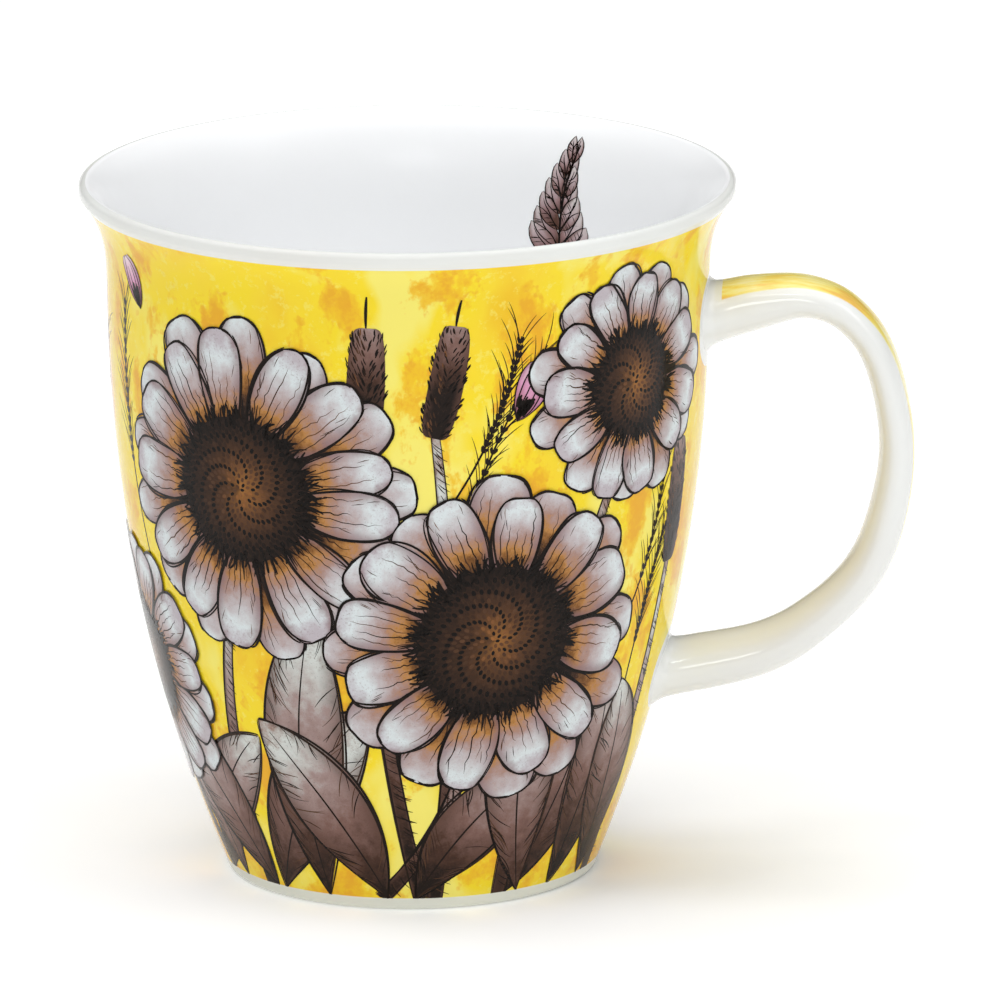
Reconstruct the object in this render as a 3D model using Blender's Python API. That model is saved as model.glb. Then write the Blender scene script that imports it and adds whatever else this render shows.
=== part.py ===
"""A flared bone china mug: a turned body on a low foot ring and a cast loop handle.

Units are metres. +Z is up, the mug stands on Z = 0 and the handle points along +X.
The origin is under the middle of the whole mug, so the body's axis lies a little to -X.
"""
import math

import bmesh
import bpy
from mathutils import Vector

# ---- Body: heights and radii measured from its own axis -------------------------------
MUG_HEIGHT = 0.110
WALL_RADIUS = 0.04690        # where the wall stands upright, below the flare
FOOT_RADIUS = 0.0287         # where the wall's curve would meet the table
WALL_CURVE_TOP = 0.097       # height at which the wall's curve has turned upright
WALL_CURVE_POWER = 2.2
FLARE_START = 0.092
FLARE_REACH = 0.0057         # how far the flare would stand out at the full height
FLARE_POWER = 3.3
LIP_THICKNESS = 0.0024
WALL_THICKNESS = 0.0029
HEEL_THICKNESS = 0.0042      # low on the wall, where the wall runs into the floor
HEEL_TOP = 0.0385            # height up to which the heel's extra thickness reaches
HEEL_POWER = 1.5             # how quickly that extra thickness fades
THINNING_START = 0.0880      # height from which the wall thins towards the lip
FLOOR_TOP = 0.0068
FLOOR_BEND = 0.0105          # how far up the wall the bend into the floor starts
FLOOR_FLAT_RADIUS = 0.0170
FOOT_EDGE = 0.0013           # rounding of the foot's outer edge
FOOT_RING_WIDTH = 0.0030
RECESS_DEPTH = 0.0026
RECESS_SLOPE = 0.0016        # run of the recess's side, seen from below
RECESS_BEND = (0.45, 0.40)   # where that side bends: share of its run and of its rise
TURNS = 72                   # facets round the body

# ---- Handle: stations along its middle line, from the upper root to the lower one -----
# distance from the body's axis, height, thickness in the loop's plane, width across it
HANDLE_STATIONS = (
    (0.0462, 0.0884, 0.0096, 0.0128),
    (0.0546, 0.0906, 0.0081, 0.0124),
    (0.0621, 0.0914, 0.0062, 0.0120),
    (0.0685, 0.0887, 0.0055, 0.0117),
    (0.0734, 0.0817, 0.0053, 0.0114),
    (0.0760, 0.0690, 0.0055, 0.0113),
    (0.0747, 0.0575, 0.0061, 0.0114),
    (0.0710, 0.0480, 0.0065, 0.0116),
    (0.0640, 0.0405, 0.0069, 0.0119),
    (0.0548, 0.0350, 0.0078, 0.0123),
    (0.0395, 0.0316, 0.0088, 0.0130),
)
ROOT_SPREAD = 0.0012         # how far each root fans out over the wall to either side
ROOT_RISE = 0.0004           # and above and below
ROOT_LENGTH = 0.0060         # stretch of handle over which it fans out
ROOT_POWER = 2.5             # how suddenly it does so
ROOT_CROWDING = 0.10         # how much the rings crowd towards the roots
SECTION_OUTER_POWER = 2.9    # the outer face is flatter than the inner one
SECTION_INNER_POWER = 2.3
SECTION_POINTS = 26
RINGS = 34
GLAZE_GAP = 0.0003           # parting line between handle and wall

CHINA_COLOUR = (0.86, 0.85, 0.81, 1.0)
PRINTED_COLOUR = (0.80, 0.62, 0.16, 1.0)


def clear_scene():
    for thing in list(bpy.data.objects):
        bpy.data.objects.remove(thing, do_unlink=True)


def glazed_material(name, colour):
    material = bpy.data.materials.new(name)
    material.use_nodes = True
    shader = material.node_tree.nodes["Principled BSDF"]
    shader.inputs["Base Color"].default_value = colour
    shader.inputs["Roughness"].default_value = 0.12
    shader.inputs["Metallic"].default_value = 0.0
    return material


# ---- Body -----------------------------------------------------------------------------

def wall_radius(height):
    """Outer radius of the wall: an easing curve up from the foot, then the flare."""
    rise = max(0.0, 1.0 - height / WALL_CURVE_TOP)
    radius = WALL_RADIUS - (WALL_RADIUS - FOOT_RADIUS) * rise ** WALL_CURVE_POWER
    if height > FLARE_START:
        flare = (height - FLARE_START) / (MUG_HEIGHT - FLARE_START)
        radius += FLARE_REACH * flare ** FLARE_POWER
    return radius


def wall_normal(height):
    """Unit normal of the outer wall as (radial, upward)."""
    step = 0.00005
    slope = (wall_radius(height + step) - wall_radius(height - step)) / (2 * step)
    length = math.hypot(1.0, slope)
    return 1.0 / length, -slope / length


def wall_thickness(height):
    """Thicker at the heel, thinner at the lip."""
    low = max(0.0, 1.0 - height / HEEL_TOP)
    high = max(0.0, (height - THINNING_START) / (MUG_HEIGHT - THINNING_START))
    thickness = WALL_THICKNESS + (HEEL_THICKNESS - WALL_THICKNESS) * low ** HEEL_POWER
    return thickness - (WALL_THICKNESS - LIP_THICKNESS) * high


def inner_point(height):
    """Point of the inner wall straight across the wall from the outer one."""
    radial, upward = wall_normal(height)
    thickness = wall_thickness(height)
    return wall_radius(height) - radial * thickness, height - upward * thickness


def lip_height():
    """Height where the outer wall ends and the half-round lip begins."""
    height = MUG_HEIGHT
    for _ in range(30):
        upward = wall_normal(height)[1]
        top = height - upward * LIP_THICKNESS / 2 + LIP_THICKNESS / 2
        height -= top - MUG_HEIGHT
    return height


def lip_arc(height, rising=5, falling=2):
    """Half circle from the outer wall, over the very top, to the inner wall."""
    radial, upward = wall_normal(height)
    half = LIP_THICKNESS / 2
    middle = (wall_radius(height) - radial * half, height - upward * half)
    start = math.atan2(upward, radial)
    top = math.pi / 2
    angles = [start + (top - start) * step / rising for step in range(1, rising + 1)]
    angles += [top + (start + top) * step / falling for step in range(1, falling)]
    return [(middle[0] + half * math.cos(a), middle[1] + half * math.sin(a)) for a in angles]


def floor_bend(steps=5):
    """Smooth turn from the inner wall into the flat floor."""
    start = inner_point(FLOOR_TOP + FLOOR_BEND)
    above = inner_point(FLOOR_TOP + FLOOR_BEND + 0.001)
    slope = (above[0] - start[0]) / (above[1] - start[1])
    corner = (start[0] - slope * (start[1] - FLOOR_TOP), FLOOR_TOP)
    end = (FLOOR_FLAT_RADIUS, FLOOR_TOP)
    points = []
    for step in range(steps + 1):
        t = step / steps
        weights = ((1 - t) ** 2, 2 * t * (1 - t), t ** 2)
        points.append(tuple(
            weights[0] * start[k] + weights[1] * corner[k] + weights[2] * end[k]
            for k in (0, 1)))
    return points


def foot_profile(steps=2):
    """From the wall's heel round the foot's edge, across the ring and up into the recess."""
    edge_radius = wall_radius(FOOT_EDGE)
    middle = (edge_radius - FOOT_EDGE, FOOT_EDGE)
    points = []
    for step in range(steps + 1):
        angle = -math.pi / 2 * step / steps
        points.append((middle[0] + FOOT_EDGE * math.cos(angle),
                       middle[1] + FOOT_EDGE * math.sin(angle)))
    ring_inside = middle[0] - FOOT_RING_WIDTH
    points.append((ring_inside, 0.0))
    points.append((ring_inside - RECESS_SLOPE * RECESS_BEND[0], RECESS_DEPTH * RECESS_BEND[1]))
    points.append((ring_inside - RECESS_SLOPE, RECESS_DEPTH))
    points.append((0.0, RECESS_DEPTH))
    return points


def spaced(start, end, count, ease=1.0):
    """Heights from start to end; an ease under 1 packs them towards the end."""
    return [start + (end - start) * (step / count) ** ease for step in range(count + 1)]


def body_profile():
    """Closed outline of the wall, in the order that turns the faces outwards.

    It runs from the lip down the outer wall and under the foot to the axis, then from
    the axis across the floor, up the inner wall and over the lip.
    """
    lip = lip_height()
    outer_heights = spaced(lip, FLARE_START, 7) + spaced(FLARE_START, FOOT_EDGE, 11)[1:-1]
    outer = [(wall_radius(height), height) for height in outer_heights]
    inner_heights = (spaced(FLOOR_TOP + FLOOR_BEND, FLARE_START, 8)[1:]
                     + spaced(FLARE_START, lip, 5)[1:])
    floor = [(0.0, FLOOR_TOP)] + list(reversed(floor_bend()))
    inner = [inner_point(height) for height in inner_heights]
    return outer + foot_profile() + floor + inner + list(reversed(lip_arc(lip)))


def make_body():
    mesh = bpy.data.meshes.new("body")
    outline = bmesh.new()
    corners = [outline.verts.new((radius, 0.0, height)) for radius, height in body_profile()]
    for first, second in zip(corners, corners[1:] + corners[:1]):
        on_axis = first.co.x == 0.0 and second.co.x == 0.0
        if not on_axis:
            outline.edges.new((first, second))
    outline.to_mesh(mesh)
    outline.free()
    body = bpy.data.objects.new("body", mesh)
    bpy.context.collection.objects.link(body)
    turn = body.modifiers.new("turn", "SCREW")
    turn.axis = "Z"
    turn.steps = TURNS
    turn.render_steps = TURNS
    turn.use_merge_vertices = True
    turn.merge_threshold = 0.00001
    turn.use_smooth_shade = True
    mesh.materials.append(glazed_material("printed china", PRINTED_COLOUR))
    return body


# ---- Handle ---------------------------------------------------------------------------

def spline(values, place):
    """Smooth curve through evenly counted values, at a place between 0 and 1."""
    count = len(values) - 1
    index = min(int(place * count), count - 1)
    t = place * count - index
    before = values[index - 1] if index > 0 else 2 * values[0] - values[1]
    after = values[index + 2] if index + 2 <= count else 2 * values[count] - values[count - 1]
    start, end = values[index], values[index + 1]
    return 0.5 * (2 * start + (end - before) * t
                  + (2 * before - 5 * start + 4 * end - after) * t ** 2
                  + (3 * start - before - 3 * end + after) * t ** 3)


def station_value(column, place):
    """One column of the stations, smoothly between them."""
    return spline([station[column] for station in HANDLE_STATIONS], place)


def middle_line(place):
    """Point of the handle's middle line."""
    return Vector((station_value(0, place), 0.0, station_value(1, place)))


def handle_station(place):
    """Centre, direction, thickness and width of the handle at a place between 0 and 1."""
    step = 0.002
    ahead, behind = min(1.0, place + step), max(0.0, place - step)
    direction = (middle_line(ahead) - middle_line(behind)).normalized()
    return middle_line(place), direction, station_value(2, place), station_value(3, place)


def section_point(angle):
    """Unit section: first value across the width, second from inside to outside."""
    across, outward = math.cos(angle), math.sin(angle)
    power = SECTION_OUTER_POWER if outward > 0 else SECTION_INNER_POWER
    return (math.copysign(abs(across) ** (2 / power), across),
            math.copysign(abs(outward) ** (2 / power), outward))


def wall_distance(point):
    """How far a point stands off the wall, measured along X."""
    return point.x - math.sqrt(wall_radius(point.z) ** 2 - point.y ** 2)


def off_wall(point, distance):
    """The point slid along X until it stands that far off the wall."""
    return point - Vector((wall_distance(point) - distance, 0.0, 0.0))


def handle_ring(place):
    """One closed ring of the handle's skin; near a root it fans out and follows the wall."""
    centre, direction, thickness, width = handle_station(place)
    outward = Vector((-direction.z, 0.0, direction.x))
    distance = wall_distance(centre)
    fan = max(0.0, 1.0 - (distance - GLAZE_GAP) / ROOT_LENGTH)
    half_width = width / 2 + ROOT_SPREAD * fan ** ROOT_POWER
    half_thickness = thickness / 2 + ROOT_RISE * fan ** ROOT_POWER
    ring = []
    for step in range(SECTION_POINTS):
        across, out = section_point(2 * math.pi * (step + 0.5) / SECTION_POINTS)
        point = centre + Vector((0.0, across * half_width, 0.0)) + outward * out * half_thickness
        ring.append(point.lerp(off_wall(point, distance), fan))
    return ring


def wall_place(from_start):
    """Place on the middle line where the handle meets the wall."""
    low, high = (0.0, 0.5) if from_start else (1.0, 0.5)
    for _ in range(40):
        middle = (low + high) / 2
        inside = wall_distance(middle_line(middle)) < GLAZE_GAP
        low, high = (middle, high) if inside else (low, middle)
    return high


def handle_rings():
    """Rings from wall to wall, closer together near the roots."""
    start, end = wall_place(True), wall_place(False)
    rings = []
    for step in range(RINGS + 1):
        even = step / RINGS
        eased = even - ROOT_CROWDING * math.sin(2 * math.pi * even)
        rings.append(handle_ring(start + (end - start) * eased))
    return rings


def close_root(bm, ring, reverse):
    """Cover a root with smaller and smaller rings that follow the wall."""
    centre = sum((vert.co for vert in ring), Vector()) / len(ring)
    outer = ring
    for shrink in (0.66, 0.33):
        inner = [bm.verts.new(off_wall(centre.lerp(vert.co, shrink), GLAZE_GAP)) for vert in ring]
        stitch(bm, outer, inner, reverse)
        outer = inner
    tip = bm.verts.new(off_wall(centre, GLAZE_GAP))
    for first, second in zip(outer, outer[1:] + outer[:1]):
        bm.faces.new((first, second, tip) if not reverse else (second, first, tip))


def stitch(bm, first_ring, second_ring, reverse=False):
    """Join two rings of equal count with four-sided faces."""
    count = len(first_ring)
    for index in range(count):
        following = (index + 1) % count
        face = [first_ring[index], first_ring[following],
                second_ring[following], second_ring[index]]
        bm.faces.new(face if not reverse else face[::-1])


def make_handle():
    bm = bmesh.new()
    rings = [[bm.verts.new(point) for point in ring] for ring in handle_rings()]
    for first_ring, second_ring in zip(rings, rings[1:]):
        stitch(bm, first_ring, second_ring)
    close_root(bm, rings[0], reverse=True)
    close_root(bm, rings[-1], reverse=False)
    bmesh.ops.recalc_face_normals(bm, faces=bm.faces)
    mesh = bpy.data.meshes.new("handle")
    bm.to_mesh(mesh)
    bm.free()
    mesh.shade_smooth()
    mesh.set_sharp_from_angle(angle=math.radians(50))
    handle = bpy.data.objects.new("handle", mesh)
    bpy.context.collection.objects.link(handle)
    mesh.materials.append(glazed_material("white china", CHINA_COLOUR))
    return handle


def centre_over_origin(objects):
    """Shift the pieces together so the origin is under the middle of the whole mug."""
    reach = max(vert.co.x for vert in objects["handle"].data.vertices)
    rim = max(vert.co.x for vert in objects["body"].data.vertices)
    for piece in objects.values():
        piece.location.x = (rim - reach) / 2


clear_scene()
pieces = {"body": make_body(), "handle": make_handle()}
centre_over_origin(pieces)
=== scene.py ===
"""A flared bone china mug with a pen-and-wash flower print, standing on a pale table."""

import math
import random

import bpy
from mathutils import Matrix, Vector


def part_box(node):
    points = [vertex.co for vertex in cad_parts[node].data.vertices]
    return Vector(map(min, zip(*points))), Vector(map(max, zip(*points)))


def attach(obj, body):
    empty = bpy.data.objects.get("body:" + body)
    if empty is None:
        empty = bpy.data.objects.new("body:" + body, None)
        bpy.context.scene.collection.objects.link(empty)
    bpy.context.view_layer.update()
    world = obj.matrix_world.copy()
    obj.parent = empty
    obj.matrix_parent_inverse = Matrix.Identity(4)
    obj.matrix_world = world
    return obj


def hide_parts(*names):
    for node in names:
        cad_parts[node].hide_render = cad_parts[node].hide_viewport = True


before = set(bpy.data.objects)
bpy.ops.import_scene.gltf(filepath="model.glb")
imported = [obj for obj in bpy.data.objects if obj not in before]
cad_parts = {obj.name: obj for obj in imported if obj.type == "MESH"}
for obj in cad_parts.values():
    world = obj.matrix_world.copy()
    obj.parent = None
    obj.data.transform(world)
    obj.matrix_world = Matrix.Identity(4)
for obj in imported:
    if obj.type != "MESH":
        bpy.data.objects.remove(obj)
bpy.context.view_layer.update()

# ---- 1. Cup ----------------------------------------------------------------------------
# The cup is bone china, shaped in a spinning plaster mould, with its lip sponged round.
# It flares over the last 18 mm and stands on a narrow ring, which is wiped free of glaze
# so that it doesn't stick in the kiln. A yellow wash is printed between lip and foot.
CUP_HEIGHT = 0.110
WALL_RADIUS = 0.04690        # where the wall stands upright, below the flare
FOOT_RADIUS = 0.0287         # where the wall's curve would meet the table
WALL_CURVE_TOP = 0.097
WALL_CURVE_POWER = 2.2
FLARE_START = 0.092
FLARE_REACH = 0.0057
FLARE_POWER = 3.3
LIP_THICKNESS = 0.0017
LIP_EASING = 0.0007          # the inside is sponged back from the lip
LIP_EASING_LENGTH = 0.0045
WALL_THICKNESS = 0.0029
HEEL_THICKNESS = 0.0042
HEEL_TOP = 0.0385
HEEL_POWER = 1.5
THINNING_START = 0.0880
FLOOR_TOP = 0.0068
FLOOR_BEND = 0.0105
FLOOR_FLAT_RADIUS = 0.0170
FOOT_EDGE = 0.0013
FOOT_RING_WIDTH = 0.0030
WIPING_START = 0.0001        # the sponge takes the glaze off from just past the edge
RING_ROUNDING = 0.0004       # inner edge of the foot ring
RECESS_DEPTH = 0.0026
RECESS_SLOPE = 0.0016
RECESS_POWER = 1.2
CUP_TURNS = 240
LIP_STEPS, EDGE_STEPS, RECESS_STEPS, BEND_STEPS = 8, 7, 8, 14
FLARE_ROWS, WALL_ROWS = (24, 20), (60, 40)    # outside the wall, inside it

SHEET_MARGIN = 0.005         # places and sizes on the cup's bake sheet, out of 1
WALL_STRIP, WALL_STRIP_TOPS = (0.99, 0.36), (0.985, 0.610)
HALF_TURN_END = 0.4999999    # where the first half wall ends and the second hasn't begun
INSIDE_STRIP = (0.76, 0.225)
DISC_PLACES, DISC_RADIUS = {"floor": (0.885, 0.170), "foot": (0.885, 0.058)}, 0.052
ZONE_CLOSINGS = {            # from the last row of a zone on to the next zone
    "wall": 0.0005, "foot": 0.0, "floor": 0.001, "inside": 0.0005,
}

PRINT_BOTTOM = 0.0021        # the print stops short of foot and lip
PRINT_TOP = 0.1073
PRINT_EDGE = 0.00006         # softness of its edges
ROOT_PATCHES = (             # ovals left bare for the handle: height, half width, half height
    (0.0882, 0.0100, 0.0074),
    (0.0329, 0.0100, 0.0072),
)
PATCH_POWER = 2.3

CHINA = (227, 227, 223)
CHINA_LIGHT = (230, 232, 229)
CHINA_PAINTED_LIGHTER_INSIDE = (249, 250, 251)    # painted light: the inside is given a whiter china than the outside
FOOT_PAINTED_SHADE = (225, 226, 215)    # painted shade: darker and greener towards the foot
# where the painted shade at the foot begins, and where it is full
FOOT_SHADE_TOP, FOOT_SHADE_FULL = 0.0030, 0.0015
BARE_CHINA, BARE_GRAIN = (222, 216, 204), (212, 203, 186)
PALE_YELLOW = (243, 230, 112)
YELLOW = (243, 216, 40)
WARM_YELLOW = (243, 212, 48)
GOLD = (237, 189, 38)
OCHRE = (231, 168, 40)
CHINA_CLOUDS = 0.03          # scale of a slow drift in the white, to a millimetre
WASH_STOPS = ((0.36, PALE_YELLOW), (0.45, YELLOW), (0.56, WARM_YELLOW), (0.68, GOLD))
WASH_GROUND, WASH_SCUMBLE = (0.055, 3.0, 0.55), (0.55, 4.0, 0.7)    # scale, detail, roughness
WASH_DRAGGED, WASH_SPOTS = (0.105, 6.0, 0.62), (0.42, 2.0, 0.5)
GROUND_STRETCH, DRAGGED_STRETCH = (1.0, 1.0, 0.55), (1.0, 1.0, 0.62)
GLAZE_ROUGHNESS = (0.07, 0.12)
INSIDE_DULLNESS, BARE_DULLNESS = 0.14, 0.45
GLAZE_IOR = 1.5
GLAZE_WAVES = 0.07           # slow waves in the glaze, to a millimetre
WAVE_STRENGTH, WAVE_HEIGHT = 0.22, 0.0006
CUP_SHEEN = 0.17             # a soft glaze, less bright than window glass

cup_low, cup_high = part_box("body")
AXIS_X = (cup_low[0] + cup_high[0]) / 2
RIM_REACH = (cup_high[1] - cup_low[1]) / 2


def wall_radius(height):
    """Outer radius of the wall: an easing curve up from the foot, then the flare."""
    below = max(0.0, 1.0 - height / WALL_CURVE_TOP)
    radius = WALL_RADIUS - (WALL_RADIUS - FOOT_RADIUS) * below ** WALL_CURVE_POWER
    if height > FLARE_START:
        flare = (height - FLARE_START) / (CUP_HEIGHT - FLARE_START)
        radius += FLARE_REACH * flare ** FLARE_POWER
    return radius


def wall_normal(height):
    """Unit normal of the outer wall as (radial, upward)."""
    step = 0.00005
    slope = (wall_radius(height + step) - wall_radius(height - step)) / (2 * step)
    length = math.hypot(1.0, slope)
    return 1.0 / length, -slope / length


def wall_thickness(height):
    """Thicker at the heel, thinner at the lip."""
    low = max(0.0, 1.0 - height / HEEL_TOP)
    high = max(0.0, (height - THINNING_START) / (CUP_HEIGHT - THINNING_START))
    sponged = max(0.0, 1.0 - (CUP_HEIGHT - height) / LIP_EASING_LENGTH)
    thickness = WALL_THICKNESS + (HEEL_THICKNESS - WALL_THICKNESS) * low ** HEEL_POWER
    thickness -= (WALL_THICKNESS - LIP_THICKNESS - LIP_EASING) * high
    return thickness - LIP_EASING * sponged ** 2


def inner_point(height):
    """Point of the inner wall straight across the wall from the outer one."""
    radial, upward = wall_normal(height)
    thickness = wall_thickness(height)
    return wall_radius(height) - radial * thickness, height - upward * thickness


def lip_height():
    """Height where the outer wall ends and the half-round lip begins."""
    height = CUP_HEIGHT
    for _ in range(30):
        upward = wall_normal(height)[1]
        half = wall_thickness(height) / 2
        top = height - upward * half + half
        height -= top - CUP_HEIGHT
    return height


def lip_arcs(height):
    """The lip's outer quarter, from its top outwards, and its inner one, up to the top."""
    radial, upward = wall_normal(height)
    half = wall_thickness(height) / 2
    middle = (wall_radius(height) - radial * half, height - upward * half)
    start = math.atan2(upward, radial)
    top = math.pi / 2

    def at(angle):
        return middle[0] + half * math.cos(angle), middle[1] + half * math.sin(angle)

    outer = [at(top + (start - top) * step / LIP_STEPS) for step in range(LIP_STEPS)]
    inner = [at(top + (start + top) * step / LIP_STEPS) for step in range(1, LIP_STEPS)]
    return outer, inner[::-1]


def floor_bend():
    """Smooth turn from the inner wall into the flat floor."""
    start = inner_point(FLOOR_TOP + FLOOR_BEND)
    above = inner_point(FLOOR_TOP + FLOOR_BEND + 0.001)
    slope = (above[0] - start[0]) / (above[1] - start[1])
    corner = (start[0] - slope * (start[1] - FLOOR_TOP), FLOOR_TOP)
    end = (FLOOR_FLAT_RADIUS, FLOOR_TOP)
    points = []
    for step in range(BEND_STEPS + 1):
        t = step / BEND_STEPS
        weights = ((1 - t) ** 2, 2 * t * (1 - t), t ** 2)
        points.append(tuple(
            weights[0] * start[k] + weights[1] * corner[k] + weights[2] * end[k]
            for k in (0, 1)))
    return points


def foot_rows():
    """Round the foot's outer edge, across the wiped ring and up into the recess."""
    middle = wall_radius(FOOT_EDGE) - FOOT_EDGE
    inside = middle - FOOT_RING_WIDTH
    rounded = RING_ROUNDING * 0.6
    rows = []
    for step in range(EDGE_STEPS + 1):
        angle = -math.pi / 2 * step / EDGE_STEPS
        rows.append((middle + FOOT_EDGE * math.cos(angle),
                     FOOT_EDGE + FOOT_EDGE * math.sin(angle), 0.0))
    rows += [(middle - WIPING_START, 0.0, 1.0), (inside + RING_ROUNDING, 0.0, 1.0),
             (inside + RING_ROUNDING * 0.3, RING_ROUNDING * 0.15, 1.0), (inside, rounded, 0.0)]
    for step in range(1, RECESS_STEPS + 1):
        t = step / RECESS_STEPS
        climb = math.sin(math.pi / 2 * t) ** RECESS_POWER
        rows.append((inside - RECESS_SLOPE * t, rounded + (RECESS_DEPTH - rounded) * climb, 0.0))
    rows += [(inside * share, RECESS_DEPTH, 0.0) for share in (0.7, 0.4, 0.15, 0.0)]
    return rows


def spaced(start, end, count):
    """Values in even steps, both ends among them."""
    return [start + (end - start) * step / count for step in range(count + 1)]


def cup_rows():
    """Rows of the turned wall: radius, height, zone and whether the ring is wiped there."""
    lip = lip_height()
    outer_lip, inner_lip = lip_arcs(lip)
    heights = spaced(lip, FLARE_START, FLARE_ROWS[0]) \
        + spaced(FLARE_START, FOOT_EDGE, WALL_ROWS[0])[1:-1]
    outer = outer_lip + [(wall_radius(height), height) for height in heights]
    rows = [(radius, height, "wall", 0.0) for radius, height in outer]
    rows += [(radius, height, "foot", bare) for radius, height, bare in foot_rows()]
    floor = [(share * FLOOR_FLAT_RADIUS, FLOOR_TOP) for share in (0.0, 0.2, 0.5, 0.8)]
    floor += floor_bend()[::-1]
    rows += [(radius, height, "floor", 0.0) for radius, height in floor]
    heights = spaced(FLOOR_TOP + FLOOR_BEND, FLARE_START, WALL_ROWS[1])[1:] \
        + spaced(FLARE_START, lip, FLARE_ROWS[1])[1:]
    inner = [inner_point(height) for height in heights] + inner_lip
    rows += [(radius, height, "inside", 0.0) for radius, height in inner]
    return [(min(radius, RIM_REACH), height, zone, bare) for radius, height, zone, bare in rows]


def zone_spans(rows):
    """How far each row lies along its own zone, from 0 at the zone's first row to 1."""
    lengths = []
    for index, (radius, height, zone, _) in enumerate(rows):
        before = rows[index - 1]
        fresh = index == 0 or before[2] != zone
        step = math.hypot(radius - before[0], height - before[1])
        lengths.append(0.0 if fresh else lengths[-1] + step)
    totals = {}
    for row, length in zip(rows, lengths):
        totals[row[2]] = max(totals.get(row[2], 0.0), length)
    return [length / (totals[row[2]] + ZONE_CLOSINGS[row[2]])
            for row, length in zip(rows, lengths)]


def cup_uv(zone, span, turn):
    """Place on the bake sheet: two half walls, the inside below them, two small discs."""
    if zone == "wall":
        half = 0 if turn < 0.5 else 1
        return (SHEET_MARGIN + WALL_STRIP[0] * (turn * 2 - half),
                WALL_STRIP_TOPS[half] - WALL_STRIP[1] * span)
    if zone == "inside":
        return SHEET_MARGIN + INSIDE_STRIP[0] * turn, SHEET_MARGIN + INSIDE_STRIP[1] * span
    middle = DISC_PLACES[zone]
    out = DISC_RADIUS * (span if zone == "floor" else 1 - span)
    angle = 2 * math.pi * turn
    return middle[0] + out * math.cos(angle), middle[1] + out * math.sin(angle)


def cup_faces(rows, starts):
    """Faces between the rows, closed round, and each corner's place on the bake sheet."""
    spans = zone_spans(rows)
    faces, sheet = [], []
    for index, (radius, _, zone, _) in enumerate(rows):
        following = (index + 1) % len(rows)
        if radius == 0.0 and rows[following][0] == 0.0:
            continue
        end = spans[following] if rows[following][2] == zone else 1.0
        for turn in range(CUP_TURNS):
            face = []
            middle = (turn + 0.5) / CUP_TURNS
            for row, step, span in ((index, turn, spans[index]), (following, turn, end),
                                    (following, turn + 1, end), (index, turn + 1, spans[index])):
                place = step / CUP_TURNS
                place = min(place, HALF_TURN_END) if middle < 0.5 else max(place, 0.5)
                if rows[row][0] > 0.0:
                    face.append(starts[row] + step % CUP_TURNS)
                elif step == turn:
                    face.append(starts[row])
                    place = middle
                else:
                    continue
                sheet.append(cup_uv(zone, span, place))
            faces.append(face)
    return faces, sheet


def add_layer(mesh, name, places):
    """A layer of flat places, one for every corner of every face."""
    layer = mesh.uv_layers.new(name=name)
    layer.data.foreach_set("uv", [value for place in places for value in place])


def add_values(mesh, name, values):
    """A value at every point, for the material to read."""
    mesh.attributes.new(name, "FLOAT", "POINT").data.foreach_set("value", values)


def add_object(name, data):
    """An object put into the scene."""
    made = bpy.data.objects.new(name, data)
    bpy.context.collection.objects.link(made)
    return made


def make_cup():
    """The turned wall as one closed skin, from the lip down, under, and up the inside."""
    rows = cup_rows()
    points, starts, outside, wiped = [], [], [], []
    ring = FOOT_RADIUS - FOOT_RING_WIDTH
    for radius, height, zone, bare in rows:
        starts.append(len(points))
        turns = CUP_TURNS if radius > 0.0 else 1
        for turn in range(turns):
            angle = 2 * math.pi * turn / CUP_TURNS - math.pi / 2
            points.append((AXIS_X + radius * math.sin(angle), -radius * math.cos(angle), height))
        outside += [float(zone == "wall" or (zone == "foot" and radius > ring))] * turns
        wiped += [bare] * turns
    faces, sheet = cup_faces(rows, starts)
    mesh = bpy.data.meshes.new("cup")
    mesh.from_pydata(points, [], faces)
    add_layer(mesh, "OFBake", sheet)
    add_values(mesh, "outside", outside)
    add_values(mesh, "wiped", wiped)
    mesh.shade_smooth()
    return add_object("cup", mesh)


def linear(colour):
    """Shader colour from a colour given as red, green and blue out of 255."""
    parts = [value / 255 for value in colour]
    return tuple(
        value / 12.92 if value <= 0.04045 else ((value + 0.055) / 1.055) ** 2.4
        for value in parts) + (1.0,)


def add_node(tree, kind, inputs=None, **settings):
    """A shader node with its settings made and its inputs set or linked."""
    made = tree.nodes.new(kind)
    for name, value in settings.items():
        setattr(made, name, value)
    for key, value in (inputs or {}).items():
        if isinstance(value, bpy.types.NodeSocket):
            tree.links.new(value, made.inputs[key])
        else:
            made.inputs[key].default_value = value
    return made


def attribute(tree, name):
    """A value that the mesh carries at its points."""
    return add_node(tree, "ShaderNodeAttribute", attribute_name=name).outputs["Fac"]


def calculate(tree, operation, *values):
    """One step of arithmetic on numbers or sockets."""
    return add_node(tree, "ShaderNodeMath", dict(enumerate(values)),
                    operation=operation).outputs[0]


def rise(tree, value, low, high):
    """0 below low and 1 above high, with an eased step between them."""
    return add_node(tree, "ShaderNodeMapRange", {0: value, 1: low, 2: high},
                    interpolation_type="SMOOTHSTEP").outputs[0]


def blend(tree, share, first, second):
    """The first colour where the share is 0, the second where it is 1."""
    return add_node(tree, "ShaderNodeMix", {0: share, 6: first, 7: second},
                    data_type="RGBA").outputs[2]


def noise(tree, place, scale, detail=2.0, roughness=0.5):
    """Soft random value between 0 and 1."""
    return add_node(tree, "ShaderNodeTexNoise",
                    {"Vector": place, "Scale": scale, "Detail": detail,
                     "Roughness": roughness}).outputs[0]


def stretched(tree, place, factors):
    """The place multiplied along each axis; below 1 draws a noise out that way."""
    return add_node(tree, "ShaderNodeVectorMath", {0: place, 1: factors},
                    operation="MULTIPLY").outputs[0]


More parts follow.
